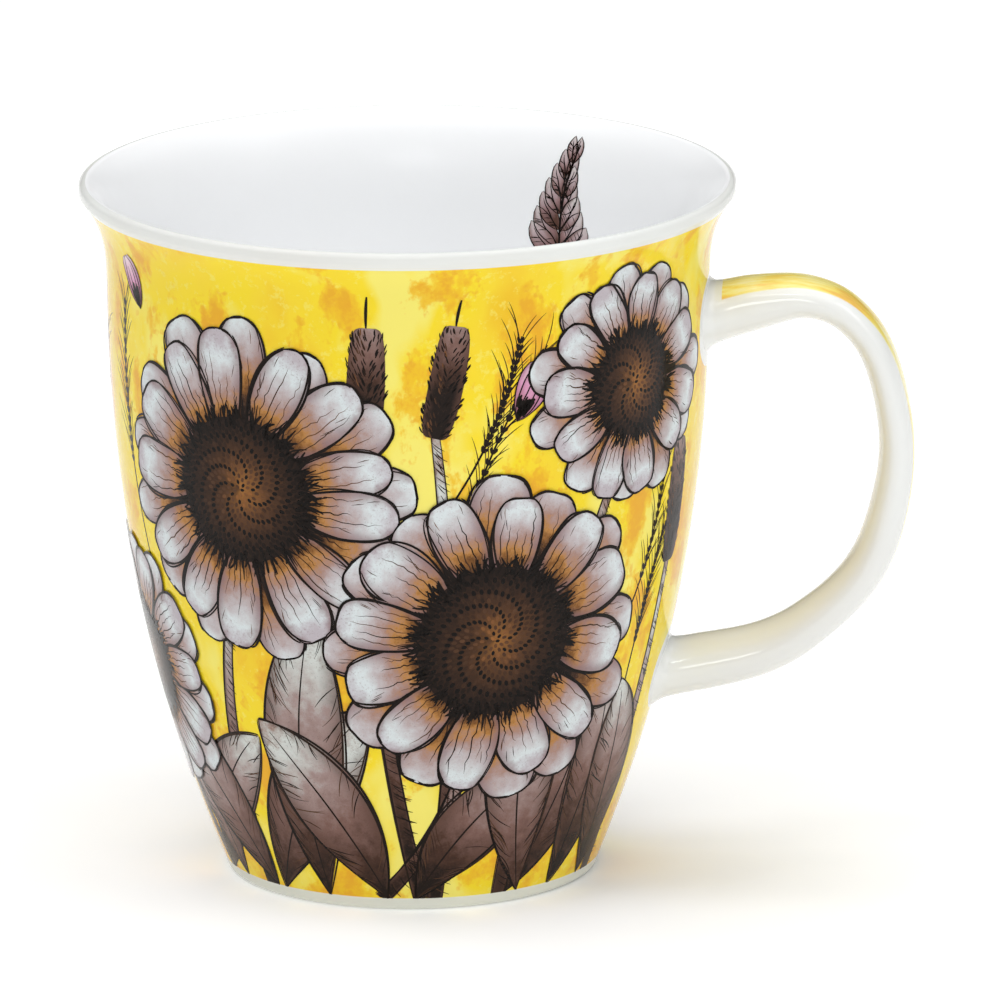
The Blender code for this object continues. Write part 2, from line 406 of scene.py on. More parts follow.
def ramp(tree, value, stops):
    """Colour by value, through (value, colour out of 255) stops."""
    made = add_node(tree, "ShaderNodeValToRGB", {0: value})
    elements = made.color_ramp.elements
    while len(elements) < len(stops):
        elements.new(0.5)
    for element, (position, colour) in zip(elements, stops):
        element.position = position
        element.color = linear(colour)
    return made.outputs[0]


def laid_over(tree, colour, paint, value, low, high, share):
    """The colour with a paint laid over it, growing to its share as a value rises."""
    cover = calculate(tree, "MULTIPLY", rise(tree, value, low, high), share)
    return blend(tree, cover, colour, linear(paint))


def clouded(tree, place, white, lighter):
    """China that drifts slowly between two whites."""
    return ramp(tree, noise(tree, place, CHINA_CLOUDS), ((0.3, white), (0.7, lighter)))


def glazed(name, sheen):
    """Material with a clear gloss glaze: its node tree, shader and place in millimetres."""
    material = bpy.data.materials.new(name)
    material.use_nodes = True
    tree = material.node_tree
    shader = tree.nodes["Principled BSDF"]
    shader.inputs["IOR"].default_value = GLAZE_IOR
    shader.inputs["Specular IOR Level"].default_value = sheen
    object_place = add_node(tree, "ShaderNodeTexCoord").outputs["Object"]
    place = stretched(tree, object_place, (1000.0, 1000.0, 1000.0))
    waves = noise(tree, place, GLAZE_WAVES)
    bump = add_node(tree, "ShaderNodeBump",
                    {"Height": waves, "Strength": WAVE_STRENGTH, "Distance": WAVE_HEIGHT})
    tree.links.new(bump.outputs[0], shader.inputs["Normal"])
    rough = add_node(tree, "ShaderNodeMapRange",
                     {0: waves, 1: 0.3, 2: 0.7, 3: GLAZE_ROUGHNESS[0], 4: GLAZE_ROUGHNESS[1]})
    tree.links.new(rough.outputs[0], shader.inputs["Roughness"])
    return material, tree, shader, place


def wash_colour(tree, place):
    """Lemon wash with golden patches dragged over it, orange where they lie thickest."""
    ground = noise(tree, stretched(tree, place, GROUND_STRETCH), *WASH_GROUND)
    scumble = noise(tree, place, *WASH_SCUMBLE)
    dragged = noise(tree, stretched(tree, place, DRAGGED_STRETCH), *WASH_DRAGGED)
    thick = calculate(tree, "MULTIPLY_ADD", scumble, 0.22, dragged)
    colour = ramp(tree, ground, WASH_STOPS)
    colour = laid_over(tree, colour, PALE_YELLOW, scumble, 0.53, 0.66, 0.5)
    colour = laid_over(tree, colour, GOLD, dragged, 0.505, 0.570, 0.9)
    colour = laid_over(tree, colour, OCHRE, thick, 0.665, 0.745, 0.85)
    spots = rise(tree, noise(tree, place, *WASH_SPOTS), 0.60, 0.66)
    flecks = calculate(tree, "MULTIPLY", spots, rise(tree, dragged, 0.44, 0.54))
    return blend(tree, calculate(tree, "MULTIPLY", flecks, 0.6), colour, linear(OCHRE))


def printed_area(tree, outside, toward, across, up):
    """1 where the wash is printed: between foot and lip, but not under the handle's roots."""
    printed = rise(tree, outside, 0.4, 0.6)
    for edge, inwards in ((PRINT_BOTTOM, PRINT_EDGE), (PRINT_TOP, -PRINT_EDGE)):
        printed = calculate(tree, "MULTIPLY", printed, rise(
            tree, up, (edge - inwards) * 1000, (edge + inwards) * 1000))
    on_handle_side = calculate(tree, "GREATER_THAN", toward, AXIS_X * 1000)
    for height, half_width, half_height in ROOT_PATCHES:
        rising = calculate(tree, "SUBTRACT", up, height * 1000)
        aside, above = (
            calculate(tree, "POWER", calculate(tree, "ABSOLUTE", calculate(
                tree, "DIVIDE", distance, half * 1000)), PATCH_POWER)
            for distance, half in ((across, half_width), (rising, half_height)))
        oval = rise(tree, calculate(tree, "ADD", aside, above), 1.03, 0.97)
        kept = calculate(tree, "MULTIPLY", oval, on_handle_side)
        printed = calculate(tree, "MULTIPLY", printed, calculate(tree, "SUBTRACT", 1.0, kept))
    return printed


def cup_material():
    """Glazed china, painted whiter inside and painted darker towards the foot, bare on the ring,
    under the wash.
    """
    material, tree, shader, place = glazed("glazed_china", CUP_SHEEN)
    toward, across, up = add_node(tree, "ShaderNodeSeparateXYZ", {0: place}).outputs
    outside, wiped = attribute(tree, "outside"), attribute(tree, "wiped")
    # Painted shade: over the last few millimetres above the foot the china turns darker and
    # greener.
    foot_shade = rise(tree, up, FOOT_SHADE_TOP * 1000, FOOT_SHADE_FULL * 1000)
    china = blend(tree, foot_shade, clouded(tree, place, CHINA, CHINA_LIGHT), linear(FOOT_PAINTED_SHADE))
    # Painted light: inside the cup the same china is painted whiter than outside.
    china = blend(tree, outside, linear(CHINA_PAINTED_LIGHTER_INSIDE), china)
    grain = ramp(tree, noise(tree, place, 3.0, 3.0), ((0.35, BARE_GRAIN), (0.6, BARE_CHINA)))
    china = blend(tree, wiped, china, grain)
    printed = printed_area(tree, outside, toward, across, up)
    colour = blend(tree, printed, china, wash_colour(tree, place))
    tree.links.new(colour, shader.inputs["Base Color"])
    glaze = shader.inputs["Roughness"].links[0].from_socket
    inside = calculate(tree, "SUBTRACT", 1.0, outside)
    roughness = calculate(tree, "MULTIPLY_ADD", inside, INSIDE_DULLNESS, glaze)
    roughness = calculate(tree, "MULTIPLY_ADD", wiped, BARE_DULLNESS, roughness)
    tree.links.new(roughness, shader.inputs["Roughness"])
    return material


cup = make_cup()
cup.data.materials.append(cup_material())
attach(cup, "root")
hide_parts("body")

# ---- 2. Handle -------------------------------------------------------------------------
# The handle is cast on its own in a two-part mould and stuck on with slip before firing.
# Its ends spread over the wall and the glaze pools in a small fillet round them. A strip
# of the same yellow wash runs along its flat outer face.
HANDLE_STATIONS = (          # distance from the cup's axis, height, thickness, width
    (0.0462, 0.0884, 0.0096, 0.0128),
    (0.0546, 0.0906, 0.0081, 0.0124),
    (0.0621, 0.0914, 0.0062, 0.0120),
    (0.0685, 0.0887, 0.0055, 0.0117),
    (0.0734, 0.0817, 0.0053, 0.0114),
    (0.0760, 0.0690, 0.0055, 0.0113),
    (0.0747, 0.0575, 0.0061, 0.0114),
    (0.0710, 0.0480, 0.0065, 0.0116),
    (0.0640, 0.0405, 0.0069, 0.0119),
    (0.0548, 0.0350, 0.0078, 0.0123),
    (0.0395, 0.0316, 0.0088, 0.0130),
    (0.0240, 0.0284, 0.0097, 0.0136),    # inside the cup, to lead the line into the wall
)
ROOT_SPREAD = 0.0012
ROOT_RISE = 0.0004
ROOT_LENGTH = 0.0060
ROOT_POWER = 2.5
FILLET_SIZE = 0.0008         # glaze and slip gathered in the corner with the wall
FILLET_LENGTH = 0.0016
SUNK_DEPTH = 0.0004          # the roots end inside the wall
SECTION_OUTER_POWER = 2.4    # the outer face is flatter than the inner one
SECTION_INNER_POWER = 2.0
SECTION_POINTS = 64
HANDLE_RINGS = 170
RING_CROWDING = 0.12         # the rings lie closer together towards the roots
SHARPEST_TURN = math.radians(60)
HANDLE_MARGIN, HANDLE_SPAN = 0.01, 0.98    # on the handle's bake sheet
# Painted light: the handle's china is a lighter copy of the cup's outer china, though both are the
# same glaze.
HANDLE_LIT_CHINA = (232, 232, 229)
HANDLE_LIT_CHINA_LIGHT = (235, 237, 235)
HANDLE_SHEEN = 0.5           # the glaze lies thicker on the handle
STRIP_START = 0.0028         # bare stretch between the wall and the printed strip
STRIP_EDGE = (0.62, 0.93)    # how near the face's rim the strip reaches: at its start, later
STRIP_NARROWING = 0.036      # length over which it narrows from the one to the other
STRIP_WASH = (               # cream where it is thin, deeper where the colour pools
    (0.30, (247, 240, 196)), (0.48, (245, 234, 150)), (0.62, (243, 218, 104)),
    (0.76, (238, 190, 90)),
)
STRIP_STREAKS, STRIP_POOLS = (0.55, 5.0, 0.65), 0.07    # scale, detail, roughness; scale
STREAK_STRETCH, POOL_STRETCH = (0.22, 1.3, 1.0), (1.0, 0.6, 1.0)
STRIP_SOFTNESS, STRIP_START_SOFTNESS = 0.03, 0.08


def spline(values, place):
    """Smooth curve through evenly counted values, at a place between 0 and 1."""
    count = len(values) - 1
    index = min(int(place * count), count - 1)
    t = place * count - index
    before = values[index - 1] if index > 0 else 2 * values[0] - values[1]
    after = values[index + 2] if index + 2 <= count else 2 * values[count] - values[count - 1]
    start, end = values[index], values[index + 1]
    return 0.5 * (2 * start + (end - before) * t
                  + (2 * before - 5 * start + 4 * end - after) * t ** 2
                  + (3 * start - before - 3 * end + after) * t ** 3)


def station_value(column, place):
    """One measure of the handle, read smoothly between its stations."""
    return spline([station[column] for station in HANDLE_STATIONS], place)


def middle_line(place):
    """Point of the handle's middle line, seen from the cup's axis."""
    return Vector((station_value(0, place), 0.0, station_value(1, place)))


def wall_distance(point):
    """How far a point stands off the wall, measured along X."""
    return point.x - math.sqrt(wall_radius(point.z) ** 2 - point.y ** 2)


def off_wall(point, distance):
    """The point slid along X until it stands that far off the wall."""
    return point - Vector((wall_distance(point) - distance, 0.0, 0.0))


def section_point(angle):
    """Unit section: first value across the width, second from inside to outside."""
    across, outward = math.cos(angle), math.sin(angle)
    power = SECTION_OUTER_POWER if outward > 0 else SECTION_INNER_POWER
    return (math.copysign(abs(across) ** (2 / power), across),
            math.copysign(abs(outward) ** (2 / power), outward))


def handle_ring(place):
    """Points of one ring and how far outward each faces; near a root it follows the wall."""
    ahead, behind = middle_line(min(1.0, place + 0.002)), middle_line(max(0.0, place - 0.002))
    direction = (ahead - behind).normalized()
    outward = Vector((-direction.z, 0.0, direction.x))
    centre = middle_line(place)
    distance = wall_distance(centre)
    fan = min(1.0, max(0.0, 1.0 - distance / ROOT_LENGTH))
    fillet = FILLET_SIZE * max(0.0, 1.0 - max(0.0, distance) / FILLET_LENGTH) ** 2
    half_thickness = station_value(2, place) / 2 + ROOT_RISE * fan ** ROOT_POWER + fillet
    half_width = station_value(3, place) / 2 + ROOT_SPREAD * fan ** ROOT_POWER + fillet
    ring = []
    for step in range(SECTION_POINTS):
        across, out = section_point(2 * math.pi * (step + 0.5) / SECTION_POINTS)
        point = centre + Vector((0.0, across * half_width, 0.0)) + outward * out * half_thickness
        ring.append((point.lerp(off_wall(point, distance), fan), out))
    return ring


def wall_place(from_start):
    """Place on the middle line where the handle has sunk into the wall."""
    low, high = (0.0, 0.5) if from_start else (1.0, 0.5)
    for _ in range(40):
        middle = (low + high) / 2
        inside = wall_distance(middle_line(middle)) < -SUNK_DEPTH
        low, high = (middle, high) if inside else (low, middle)
    return high


def strip_edge(run):
    """How near the face's rim the strip reaches, at a distance from the wall."""
    share = min(1.0, max(0.0, run) / STRIP_NARROWING)
    return STRIP_EDGE[0] + (STRIP_EDGE[1] - STRIP_EDGE[0]) * share


def handle_rings():
    """Points of all rings, their room within the strip, and their lengths along the line."""
    start, end = wall_place(True), wall_place(False)
    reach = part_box("handle")[1][0] - AXIS_X
    points, strips, washes, lengths = [], [], [], []
    run, before = -SUNK_DEPTH, middle_line(start)
    for index in range(HANDLE_RINGS + 1):
        even = index / HANDLE_RINGS
        place = start + (end - start) * (even - RING_CROWDING * math.sin(2 * math.pi * even))
        centre = middle_line(place)
        run += (centre - before).length
        before = centre
        lengths.append(run)
        for point, out in handle_ring(place):
            points.append((AXIS_X + min(point.x, reach), point.y, point.z))
            strips.append(out - strip_edge(run))
            washes.append((run * 1000, point.y * 1000))
    return points, strips, washes, lengths


def handle_faces():
    """Faces between the rings and over both ends, with each corner's place on the sheet."""
    faces, sheet = [], []
    for ring in range(HANDLE_RINGS):
        for step in range(SECTION_POINTS):
            beyond = (step + 1) % SECTION_POINTS
            here, there = ring * SECTION_POINTS, (ring + 1) * SECTION_POINTS
            faces.append((here + step, there + step, there + beyond, here + beyond))
            low, high = step / SECTION_POINTS, (step + 1) / SECTION_POINTS
            sheet += [(ring, low), (ring + 1, low), (ring + 1, high), (ring, high)]
    for first, turned in ((0, False), (HANDLE_RINGS * SECTION_POINTS, True)):
        cap = [first + step for step in range(SECTION_POINTS)]
        faces.append(cap[::-1] if turned else cap)
        sheet += [(HANDLE_RINGS, 0.999)] * SECTION_POINTS
    return faces, [(HANDLE_MARGIN + HANDLE_SPAN * ring / HANDLE_RINGS,
                    HANDLE_MARGIN + HANDLE_SPAN * around) for ring, around in sheet]


def make_handle():
    """The handle as one closed skin, which knows where its strip and the wall are."""
    points, strips, washes, lengths = handle_rings()
    faces, sheet = handle_faces()
    mesh = bpy.data.meshes.new("handle_china")
    mesh.from_pydata(points, [], faces)
    add_layer(mesh, "OFBake", sheet)
    add_layer(mesh, "wash", [washes[loop.vertex_index] for loop in mesh.loops])
    add_values(mesh, "strip", strips)
    add_values(mesh, "from_wall", [min(length, lengths[-1] - SUNK_DEPTH - length) * 1000
                                   for length in lengths for _ in range(SECTION_POINTS)])
    mesh.shade_smooth()
    mesh.set_sharp_from_angle(angle=SHARPEST_TURN)
    return add_object("handle_china", mesh)


def handle_material():
    """China painted lighter than the cup's, with the wash streaked along its outer strip."""
    material, tree, shader, place = glazed("glazed_handle", HANDLE_SHEEN)
    layer = add_node(tree, "ShaderNodeUVMap", uv_map="wash").outputs[0]
    streaks = noise(tree, stretched(tree, layer, STREAK_STRETCH), *STRIP_STREAKS)
    pools = noise(tree, stretched(tree, layer, POOL_STRETCH), STRIP_POOLS)
    value = calculate(tree, "MULTIPLY_ADD", pools, 0.9, calculate(tree, "SUBTRACT", streaks, 0.45))
    wash = ramp(tree, value, STRIP_WASH)
    start = STRIP_START * 1000
    strip = calculate(
        tree, "MULTIPLY", rise(tree, attribute(tree, "strip"), -STRIP_SOFTNESS, STRIP_SOFTNESS),
        rise(tree, attribute(tree, "from_wall"),
             start - STRIP_START_SOFTNESS, start + STRIP_START_SOFTNESS))
    china = clouded(tree, place, HANDLE_LIT_CHINA, HANDLE_LIT_CHINA_LIGHT)
    tree.links.new(blend(tree, strip, china, wash), shader.inputs["Base Color"])
    return material


handle = make_handle()
handle.data.materials.append(handle_material())
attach(handle, "root")
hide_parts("handle")

# ---- 3. Stems and leaves ---------------------------------------------------------------
# The print is a transfer: colours screened on film, slid onto the glazed cup and fired
# until they sink in. Its stems and long leaves are washed in umber, mauve and grey.
FILM = 0.000014              # rise from one colour pass of the transfer to the next
STROKE_STEP = 0.0007         # short enough for a line to follow the wall's curve
PRINT_SHEEN = 0.12           # fired enamel colours shine a little less than the glaze
OUTLINE_PEN, HATCH_PEN = (0.00026, 0.00042), (0.00010, 0.00020)    # thinnest, thickest line
STEM_HALF_WIDTH, STEM_TAPER = 0.0012, 0.0005
STEM_PEN, STEM_HATCH_PEN = 0.0003, 0.00016
RUSH_PEN, SPIKE_PEN = (0.00016, 0.00034), 0.0005
LEAF_SHAPE, RUSH_SHAPE = (1.05, 0.85), (0.16, 0.16)    # fullness towards foot and tip
LEAF_HATCHING, STEM_HATCHING = 1400, 1500    # pen strokes to a metre
RUSH_STROKES = 3.2e6         # pen strokes to a square metre
LEAF_WAVER, RIB_WAVER, STEM_WAVER = 0.00016, 0.0002, 0.00012    # drift of the hand
STEM_LEVEL, LEAF_LEVEL, RUSH_LEVEL = 1.5, 2.5, 3.5    # colour passes from the wall out
DOT_CORNERS = 6
CELL_MARGIN, CELL_SPAN = 0.06, 0.88    # of a patch in its cell of the bake sheet
TONE_MARGIN, TONE_SPAN = 0.02, 0.96    # of the ink's tone scale on its sheet
SOAKING, SPECKLING = (0.45, 3.0, 0.6), (3.2, 3.0, 0.7)    # scale, detail, roughness
DRY_NIB, NIB_STRETCH = (1.0, 3.0, 0.7), (60.0, 9.0, 1.0)
INK_TONES = (                # from a full nib to a dry one
    (0.0, (12, 8, 6)), (0.35, (30, 20, 15)), (0.7, (88, 59, 40)), (1.0, (150, 96, 50)),
)
LEAF_WASH = (                # colours from foot to tip, then of the dried edge and the specks
    ((0.02, (30, 21, 17)), (0.20, (72, 48, 38)), (0.42, (124, 94, 86)),
     (0.62, (160, 138, 134)), (0.85, (206, 210, 206)), (1.0, (150, 124, 114))),
    (88, 62, 52), (70, 48, 38),
)


def on_wall(angle, height, lift):
    """Point and normal on the outer wall; the angle runs from the front to the handle."""
    height = min(max(height, PRINT_BOTTOM), PRINT_TOP)
    radial, upward = wall_normal(height)
    reach = wall_radius(height) + radial * lift
    side, front = math.sin(angle), -math.cos(angle)
    return ((AXIS_X + reach * side, reach * front, height + upward * lift),
            (radial * side, radial * front, upward))


def around(anchor, across, up, lift):
    """Point and normal a step across and up from an anchor (degrees, height) on the wall."""
    height = anchor[1] + up
    return on_wall(math.radians(anchor[0]) + across / wall_radius(height), height, lift)


def leaf_edge(along, fullness, tip):
    """Half width of a leaf or petal along its length, out of 1."""
    swell = along ** fullness * (1 - along) ** tip
    peak = fullness / (fullness + tip)
    return swell / (peak ** fullness * (1 - peak) ** tip)


def bent_place(foot, heading, length, bow, half_width, along, side, fullness, tip):
    """Place in the drawing plane on a leaf that grows from its foot and bends sideways."""
    turn = heading + bow * along
    x = foot[0] + length * along * math.cos(heading + bow * along * 0.5)
    y = foot[1] + length * along * math.sin(heading + bow * along * 0.5)
    spread = half_width * leaf_edge(min(max(along, 0.001), 0.999), fullness, tip) * side
    return x - math.sin(turn) * spread, y + math.cos(turn) * spread


def eased(share):
    """Packs steps towards both ends, where an outline turns quickly."""
    return 0.5 - 0.5 * math.cos(math.pi * share)


class Pass:
    """One colour pass: patches and strokes gathered into a single mesh on the wall."""

    def __init__(self, lay=around):
        self.lay = lay
        self.points, self.normals, self.faces = [], [], []
        self.tones, self.washes, self.cells, self.count = [], [], [], 0

    def corner(self, anchor, place, lift, tone, wash):
        """One point of the pass, laid on the wall."""
        point, normal = self.lay(anchor, place[0], place[1], lift)
        self.points.append(point)
        self.normals.append(normal)
        self.tones.append(tone)
        self.washes.append(wash)
        self.cells.append(self.count)

    def patch(self, anchor, outline, columns, rows, lift, tone):
        """A filled shape; outline(along, side) gives its places, with side from -1 to 1."""
        start = len(self.points)
        for column in range(columns + 1):
            for row in range(rows + 1):
                along, side = eased(column / columns), 2 * row / rows - 1
                self.corner(anchor, outline(along, side), lift, tone, (along, (side + 1) / 2))
        for column in range(columns):
            for row in range(rows):
                first = start + column * (rows + 1) + row
                self.faces.append((first, first + rows + 1, first + rows + 2, first + 1))
        self.count += 1

    def stroke(self, anchor, line, width, lift, tone, blunt=0.3):
        """An ink line through places, thickest in the middle and tapered to both ends."""
        start = len(self.points)
        last = len(line) - 1
        for index, (x, y) in enumerate(line):
            ahead, behind = line[min(index + 1, last)], line[max(index - 1, 0)]
            dx, dy = ahead[0] - behind[0], ahead[1] - behind[1]
            size = math.hypot(dx, dy) or 1.0
            along = index / last
            half = width / 2 * (blunt + (1 - blunt) * math.sin(math.pi * along) ** 0.7)
            for side in (-1, 1):
                place = (x - dy / size * half * side, y + dx / size * half * side)
                self.corner(anchor, place, lift, tone, (tone, along))
        for index in range(last):
            first = start + 2 * index
            self.faces.append((first, first + 2, first + 3, first + 1))
        self.count += 1

    def dot(self, anchor, place, size, lift, tone, stretch, turn):
        """A dot of ink, drawn out along its turn."""
        start = len(self.points)
        for step in range(DOT_CORNERS):
            angle = 2 * math.pi * step / DOT_CORNERS
            x, y = size * stretch * math.cos(angle), size * math.sin(angle)
            spot = (place[0] + x * math.cos(turn) - y * math.sin(turn),
                    place[1] + x * math.sin(turn) + y * math.cos(turn))
            self.corner(anchor, spot, lift, tone, (tone, step / DOT_CORNERS))
        self.faces.append(tuple(start + step for step in range(DOT_CORNERS)))
        self.count += 1

    def build(self, name, material, in_cells):
        """Make the mesh; patches get a cell each on the bake sheet, ink shares a tone scale."""
        mesh = bpy.data.meshes.new(name)
        mesh.from_pydata(self.points, [], self.faces)
        grid = math.ceil(math.sqrt(self.count))
        order = [loop.vertex_index for loop in mesh.loops]
        places = []
        for cell, (along, across) in zip(self.cells, self.washes):
            if in_cells:
                places.append(((cell % grid + CELL_MARGIN + CELL_SPAN * along) / grid,
                               (cell // grid + CELL_MARGIN + CELL_SPAN * across) / grid))
            else:
                places.append((TONE_MARGIN + TONE_SPAN * along, TONE_MARGIN + TONE_SPAN * across))
        add_layer(mesh, "OFBake", [places[index] for index in order])
        add_layer(mesh, "wash", [self.washes[index] for index in order])
        add_values(mesh, "tone", self.tones)
        mesh.shade_smooth()
        mesh.normals_split_custom_set_from_vertices(self.normals)
        made = add_object(name, mesh)
        made.data.materials.append(material)
        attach(made, "root")


def arc(start, end, bow, steps):
    """Places along a gently bowed line."""
    middle = ((start[0] + end[0]) / 2 - (end[1] - start[1]) * bow,
              (start[1] + end[1]) / 2 + (end[0] - start[0]) * bow)
    line = []
    for step in range(steps + 1):
        t = step / steps
        line.append(tuple((1 - t) ** 2 * start[k] + 2 * t * (1 - t) * middle[k] + t * t * end[k]
                          for k in (0, 1)))
    return line


def wavered(line, amount, chance):
    """The line as a hand draws it, drifting a little to either side."""
    phase, pace = chance.uniform(0, 6), chance.uniform(5, 9)
    last = len(line) - 1
    return [(x + amount * math.sin(phase + pace * index / last),
             y + amount * math.cos(phase * 1.7 + pace * 1.3 * index / last))
            for index, (x, y) in enumerate(line)]


def wash_material(name, stops, edge, speck):
    """A watery wash: graded from foot to tip, darker where it dried at the edges."""
    material, tree, shader, place = glazed(name, PRINT_SHEEN)
    layer = add_node(tree, "ShaderNodeUVMap", uv_map="wash").outputs[0]
    parts = add_node(tree, "ShaderNodeSeparateXYZ", {0: layer})
    soft, grain = noise(tree, place, *SOAKING), noise(tree, place, *SPECKLING)
    value = calculate(tree, "MULTIPLY_ADD", soft, 0.34, parts.outputs[0])
    value = calculate(tree, "MULTIPLY_ADD", grain, 0.16, value)
    value = calculate(tree, "ADD", calculate(tree, "SUBTRACT", value, 0.25),
                      attribute(tree, "tone"))
    colour = ramp(tree, value, stops)
    side = calculate(tree, "ABSOLUTE", calculate(tree, "MULTIPLY_ADD", parts.outputs[1], 2, -1))
    side = calculate(tree, "MULTIPLY_ADD", calculate(tree, "SUBTRACT", soft, 0.5), 0.7, side)
    colour = laid_over(tree, colour, edge, side, 0.45, 1.05, 0.75)
    colour = laid_over(tree, colour, speck, grain, 0.58, 0.66, 0.35)
    tree.links.new(colour, shader.inputs["Base Color"])
    return material


def ink_material(name, stops):
    """Pen ink: its tone runs across the tone scale, and it thins where the nib ran dry."""
    material, tree, shader, _ = glazed(name, PRINT_SHEEN)
    layer = add_node(tree, "ShaderNodeUVMap", uv_map="wash").outputs[0]
    tone = add_node(tree, "ShaderNodeSeparateXYZ", {0: layer}).outputs[0]
    dry = noise(tree, stretched(tree, layer, NIB_STRETCH), *DRY_NIB)
    value = calculate(tree, "MULTIPLY_ADD", calculate(tree, "SUBTRACT", dry, 0.5), 0.35, tone)
    tree.links.new(ramp(tree, value, stops), shader.inputs["Base Color"])
    return material


INK = ink_material("pen_ink", INK_TONES)
ink = Pass()
chance = random.Random(11)

# foot of each stem (degrees, height), the head or bud it carries, its sideways bow
STEMS = (
    (-44, 0.002, -31, 0.060, 0.10), (-6, 0.002, 21, 0.036, -0.16), (30, 0.002, 51, 0.074, 0.12),
    (-66, 0.002, -74, 0.026, 0.05), (6, 0.002, -6, 0.077, 0.06), (10, 0.002, 8, 0.081, -0.05),
    (-112, 0.002, -120, 0.066, 0.1), (-168, 0.002, -161, 0.034, -0.1),
    (166, 0.002, 154, 0.070, 0.12), (136, 0.002, 127, 0.034, 0.1),
    (-140, 0.002, -142, 0.078, -0.08), (176, 0.002, 178, 0.081, 0.06),
    (68, 0.002, 69, 0.054, 0.04), (134, 0.010, 136, 0.057, -0.05),
)
# foot (degrees, height), heading from level in degrees, length, half width, bow
LEAVES = (
    (-66, 0.002, 66, 0.034, 0.0054, -0.5), (-56, 0.002, 98, 0.034, 0.0054, 0.4),
    (-41, 0.002, 112, 0.040, 0.0060, 0.5), (-38, 0.002, 70, 0.040, 0.0062, -0.5),
    (-22, 0.002, 96, 0.050, 0.0068, -0.35), (-4, 0.002, 110, 0.036, 0.0060, 0.5),
    (4, 0.002, 62, 0.030, 0.0054, -0.5), (32, 0.002, 60, 0.040, 0.0058, 0.5),
    (36, 0.002, 104, 0.046, 0.0064, -0.4), (48, 0.002, 74, 0.038, 0.0054, 0.4),
    (62, 0.002, 84, 0.034, 0.0052, 0.4), (126, 0.002, 106, 0.028, 0.0050, 0.4),
    (138, 0.002, 62, 0.028, 0.0052, -0.5), (152, 0.002, 100, 0.050, 0.0064, -0.3),
    (170, 0.002, 74, 0.042, 0.0060, 0.4), (-172, 0.002, 112, 0.042, 0.0062, 0.4),
    (-148, 0.002, 80, 0.040, 0.0060, -0.4), (-126, 0.002, 104, 0.046, 0.0062, 0.3),
    (-108, 0.002, 66, 0.040, 0.0060, 0.4), (-92, 0.002, 98, 0.050, 0.0066, -0.3),
    (2, 0.046, 128, 0.020, 0.0036, 0.4), (7, 0.056, 48, 0.018, 0.0032, -0.4),
    (178, 0.052, 50, 0.022, 0.0038, -0.4), (-141, 0.048, 130, 0.022, 0.0038, 0.4),
)
# place (degrees, height), heading in degrees, length, half width
RUSHES = (
    (-6, 0.0760, 84, 0.0215, 0.0030), (8, 0.0800, 76, 0.0180, 0.0027),
    (69, 0.0530, 88, 0.0200, 0.0028), (-56, 0.0180, 100, 0.0200, 0.0028),
    (-98, 0.0360, 96, 0.0230, 0.0030), (-142, 0.0770, 86, 0.0210, 0.0029),
    (178, 0.0800, 98, 0.0190, 0.0028), (136, 0.0560, 84, 0.0180, 0.0027),
)
leaves = Pass()


def draw_leaf(foot_angle, foot_height, heading, length, half_width, bow, level):
    """A washed leaf with a double outline, a midrib and hatching on one side."""
    anchor = (foot_angle, foot_height)
    heading = math.radians(heading)

    def place(along, side):
        return bent_place((0, 0), heading, length, bow, half_width, along, side, *LEAF_SHAPE)

    steps = math.ceil(length / STROKE_STEP)
    leaves.patch(anchor, place, steps, 14, FILM * level, chance.uniform(-0.14, 0.22))
    over = FILM * (level + 0.5)
    for side in (-1, 1):
        for _ in range(2):
            edge = side * chance.uniform(0.94, 1.06)
            line = [place(eased(step / steps), edge) for step in range(steps + 1)]
            ink.stroke(anchor, wavered(line, LEAF_WAVER, chance), chance.uniform(*OUTLINE_PEN),
                       over, chance.uniform(0.05, 0.45))
    rib = [place(step / steps * 0.93, 0.06) for step in range(steps + 1)]
    ink.stroke(anchor, wavered(rib, RIB_WAVER, chance), STEM_PEN, over, 0.3)
    for _ in range(int(length * LEAF_HATCHING)):
        start, side = chance.uniform(0.03, 0.86), chance.choice((-1, 1, 1))
        reach = chance.uniform(0.25, 0.75)
        line = arc(place(start, side * (1 - reach)), place(min(start + 0.09, 0.98), side * 0.98),
                   chance.uniform(-0.15, 0.15), 5)
        ink.stroke(anchor, line, chance.uniform(*HATCH_PEN), over, chance.uniform(0.1, 0.7))


def draw_stem(foot_angle, foot_height, head_angle, head_height, bow, level):
    """A stem with an ink line down either side and short hatching across its shade."""
    anchor = (foot_angle, foot_height)
    radius = wall_radius((foot_height + head_height) / 2)
    end = (math.radians(head_angle - foot_angle) * radius, head_height - foot_height)
    steps = math.ceil(math.hypot(*end) / STROKE_STEP)
    line = arc((0, 0), end, bow, steps)

    def place(along, side):
        position = along * (steps - 0.001)
        index = int(position)
        here, there = line[index], line[index + 1]
        share = position - index
        dx, dy = there[0] - here[0], there[1] - here[1]
        size = math.hypot(dx, dy)
        half = STEM_HALF_WIDTH - STEM_TAPER * along
        return (here[0] + dx * share - dy / size * half * side,
                here[1] + dy * share + dx / size * half * side)

    leaves.patch(anchor, place, steps, 3, FILM * level, chance.uniform(-0.1, 0.15))
    over = FILM * (level + 0.5)
    for side in (-1, 1, 1):
        edge = side * chance.uniform(0.9, 1.1)
        outline = [place(step / steps, edge) for step in range(steps + 1)]
        ink.stroke(anchor, wavered(outline, STEM_WAVER, chance), STEM_PEN, over,
                   chance.uniform(0.05, 0.4))
    for _ in range(int(head_height * STEM_HATCHING)):
        start = chance.uniform(0.01, 0.97)
        ends = place(start, chance.uniform(-1.9, -0.6)), place(start + 0.02, chance.uniform(0, 1))
        ink.stroke(anchor, arc(*ends, 0.1, 4), STEM_HATCH_PEN, over, chance.uniform(0.1, 0.6))


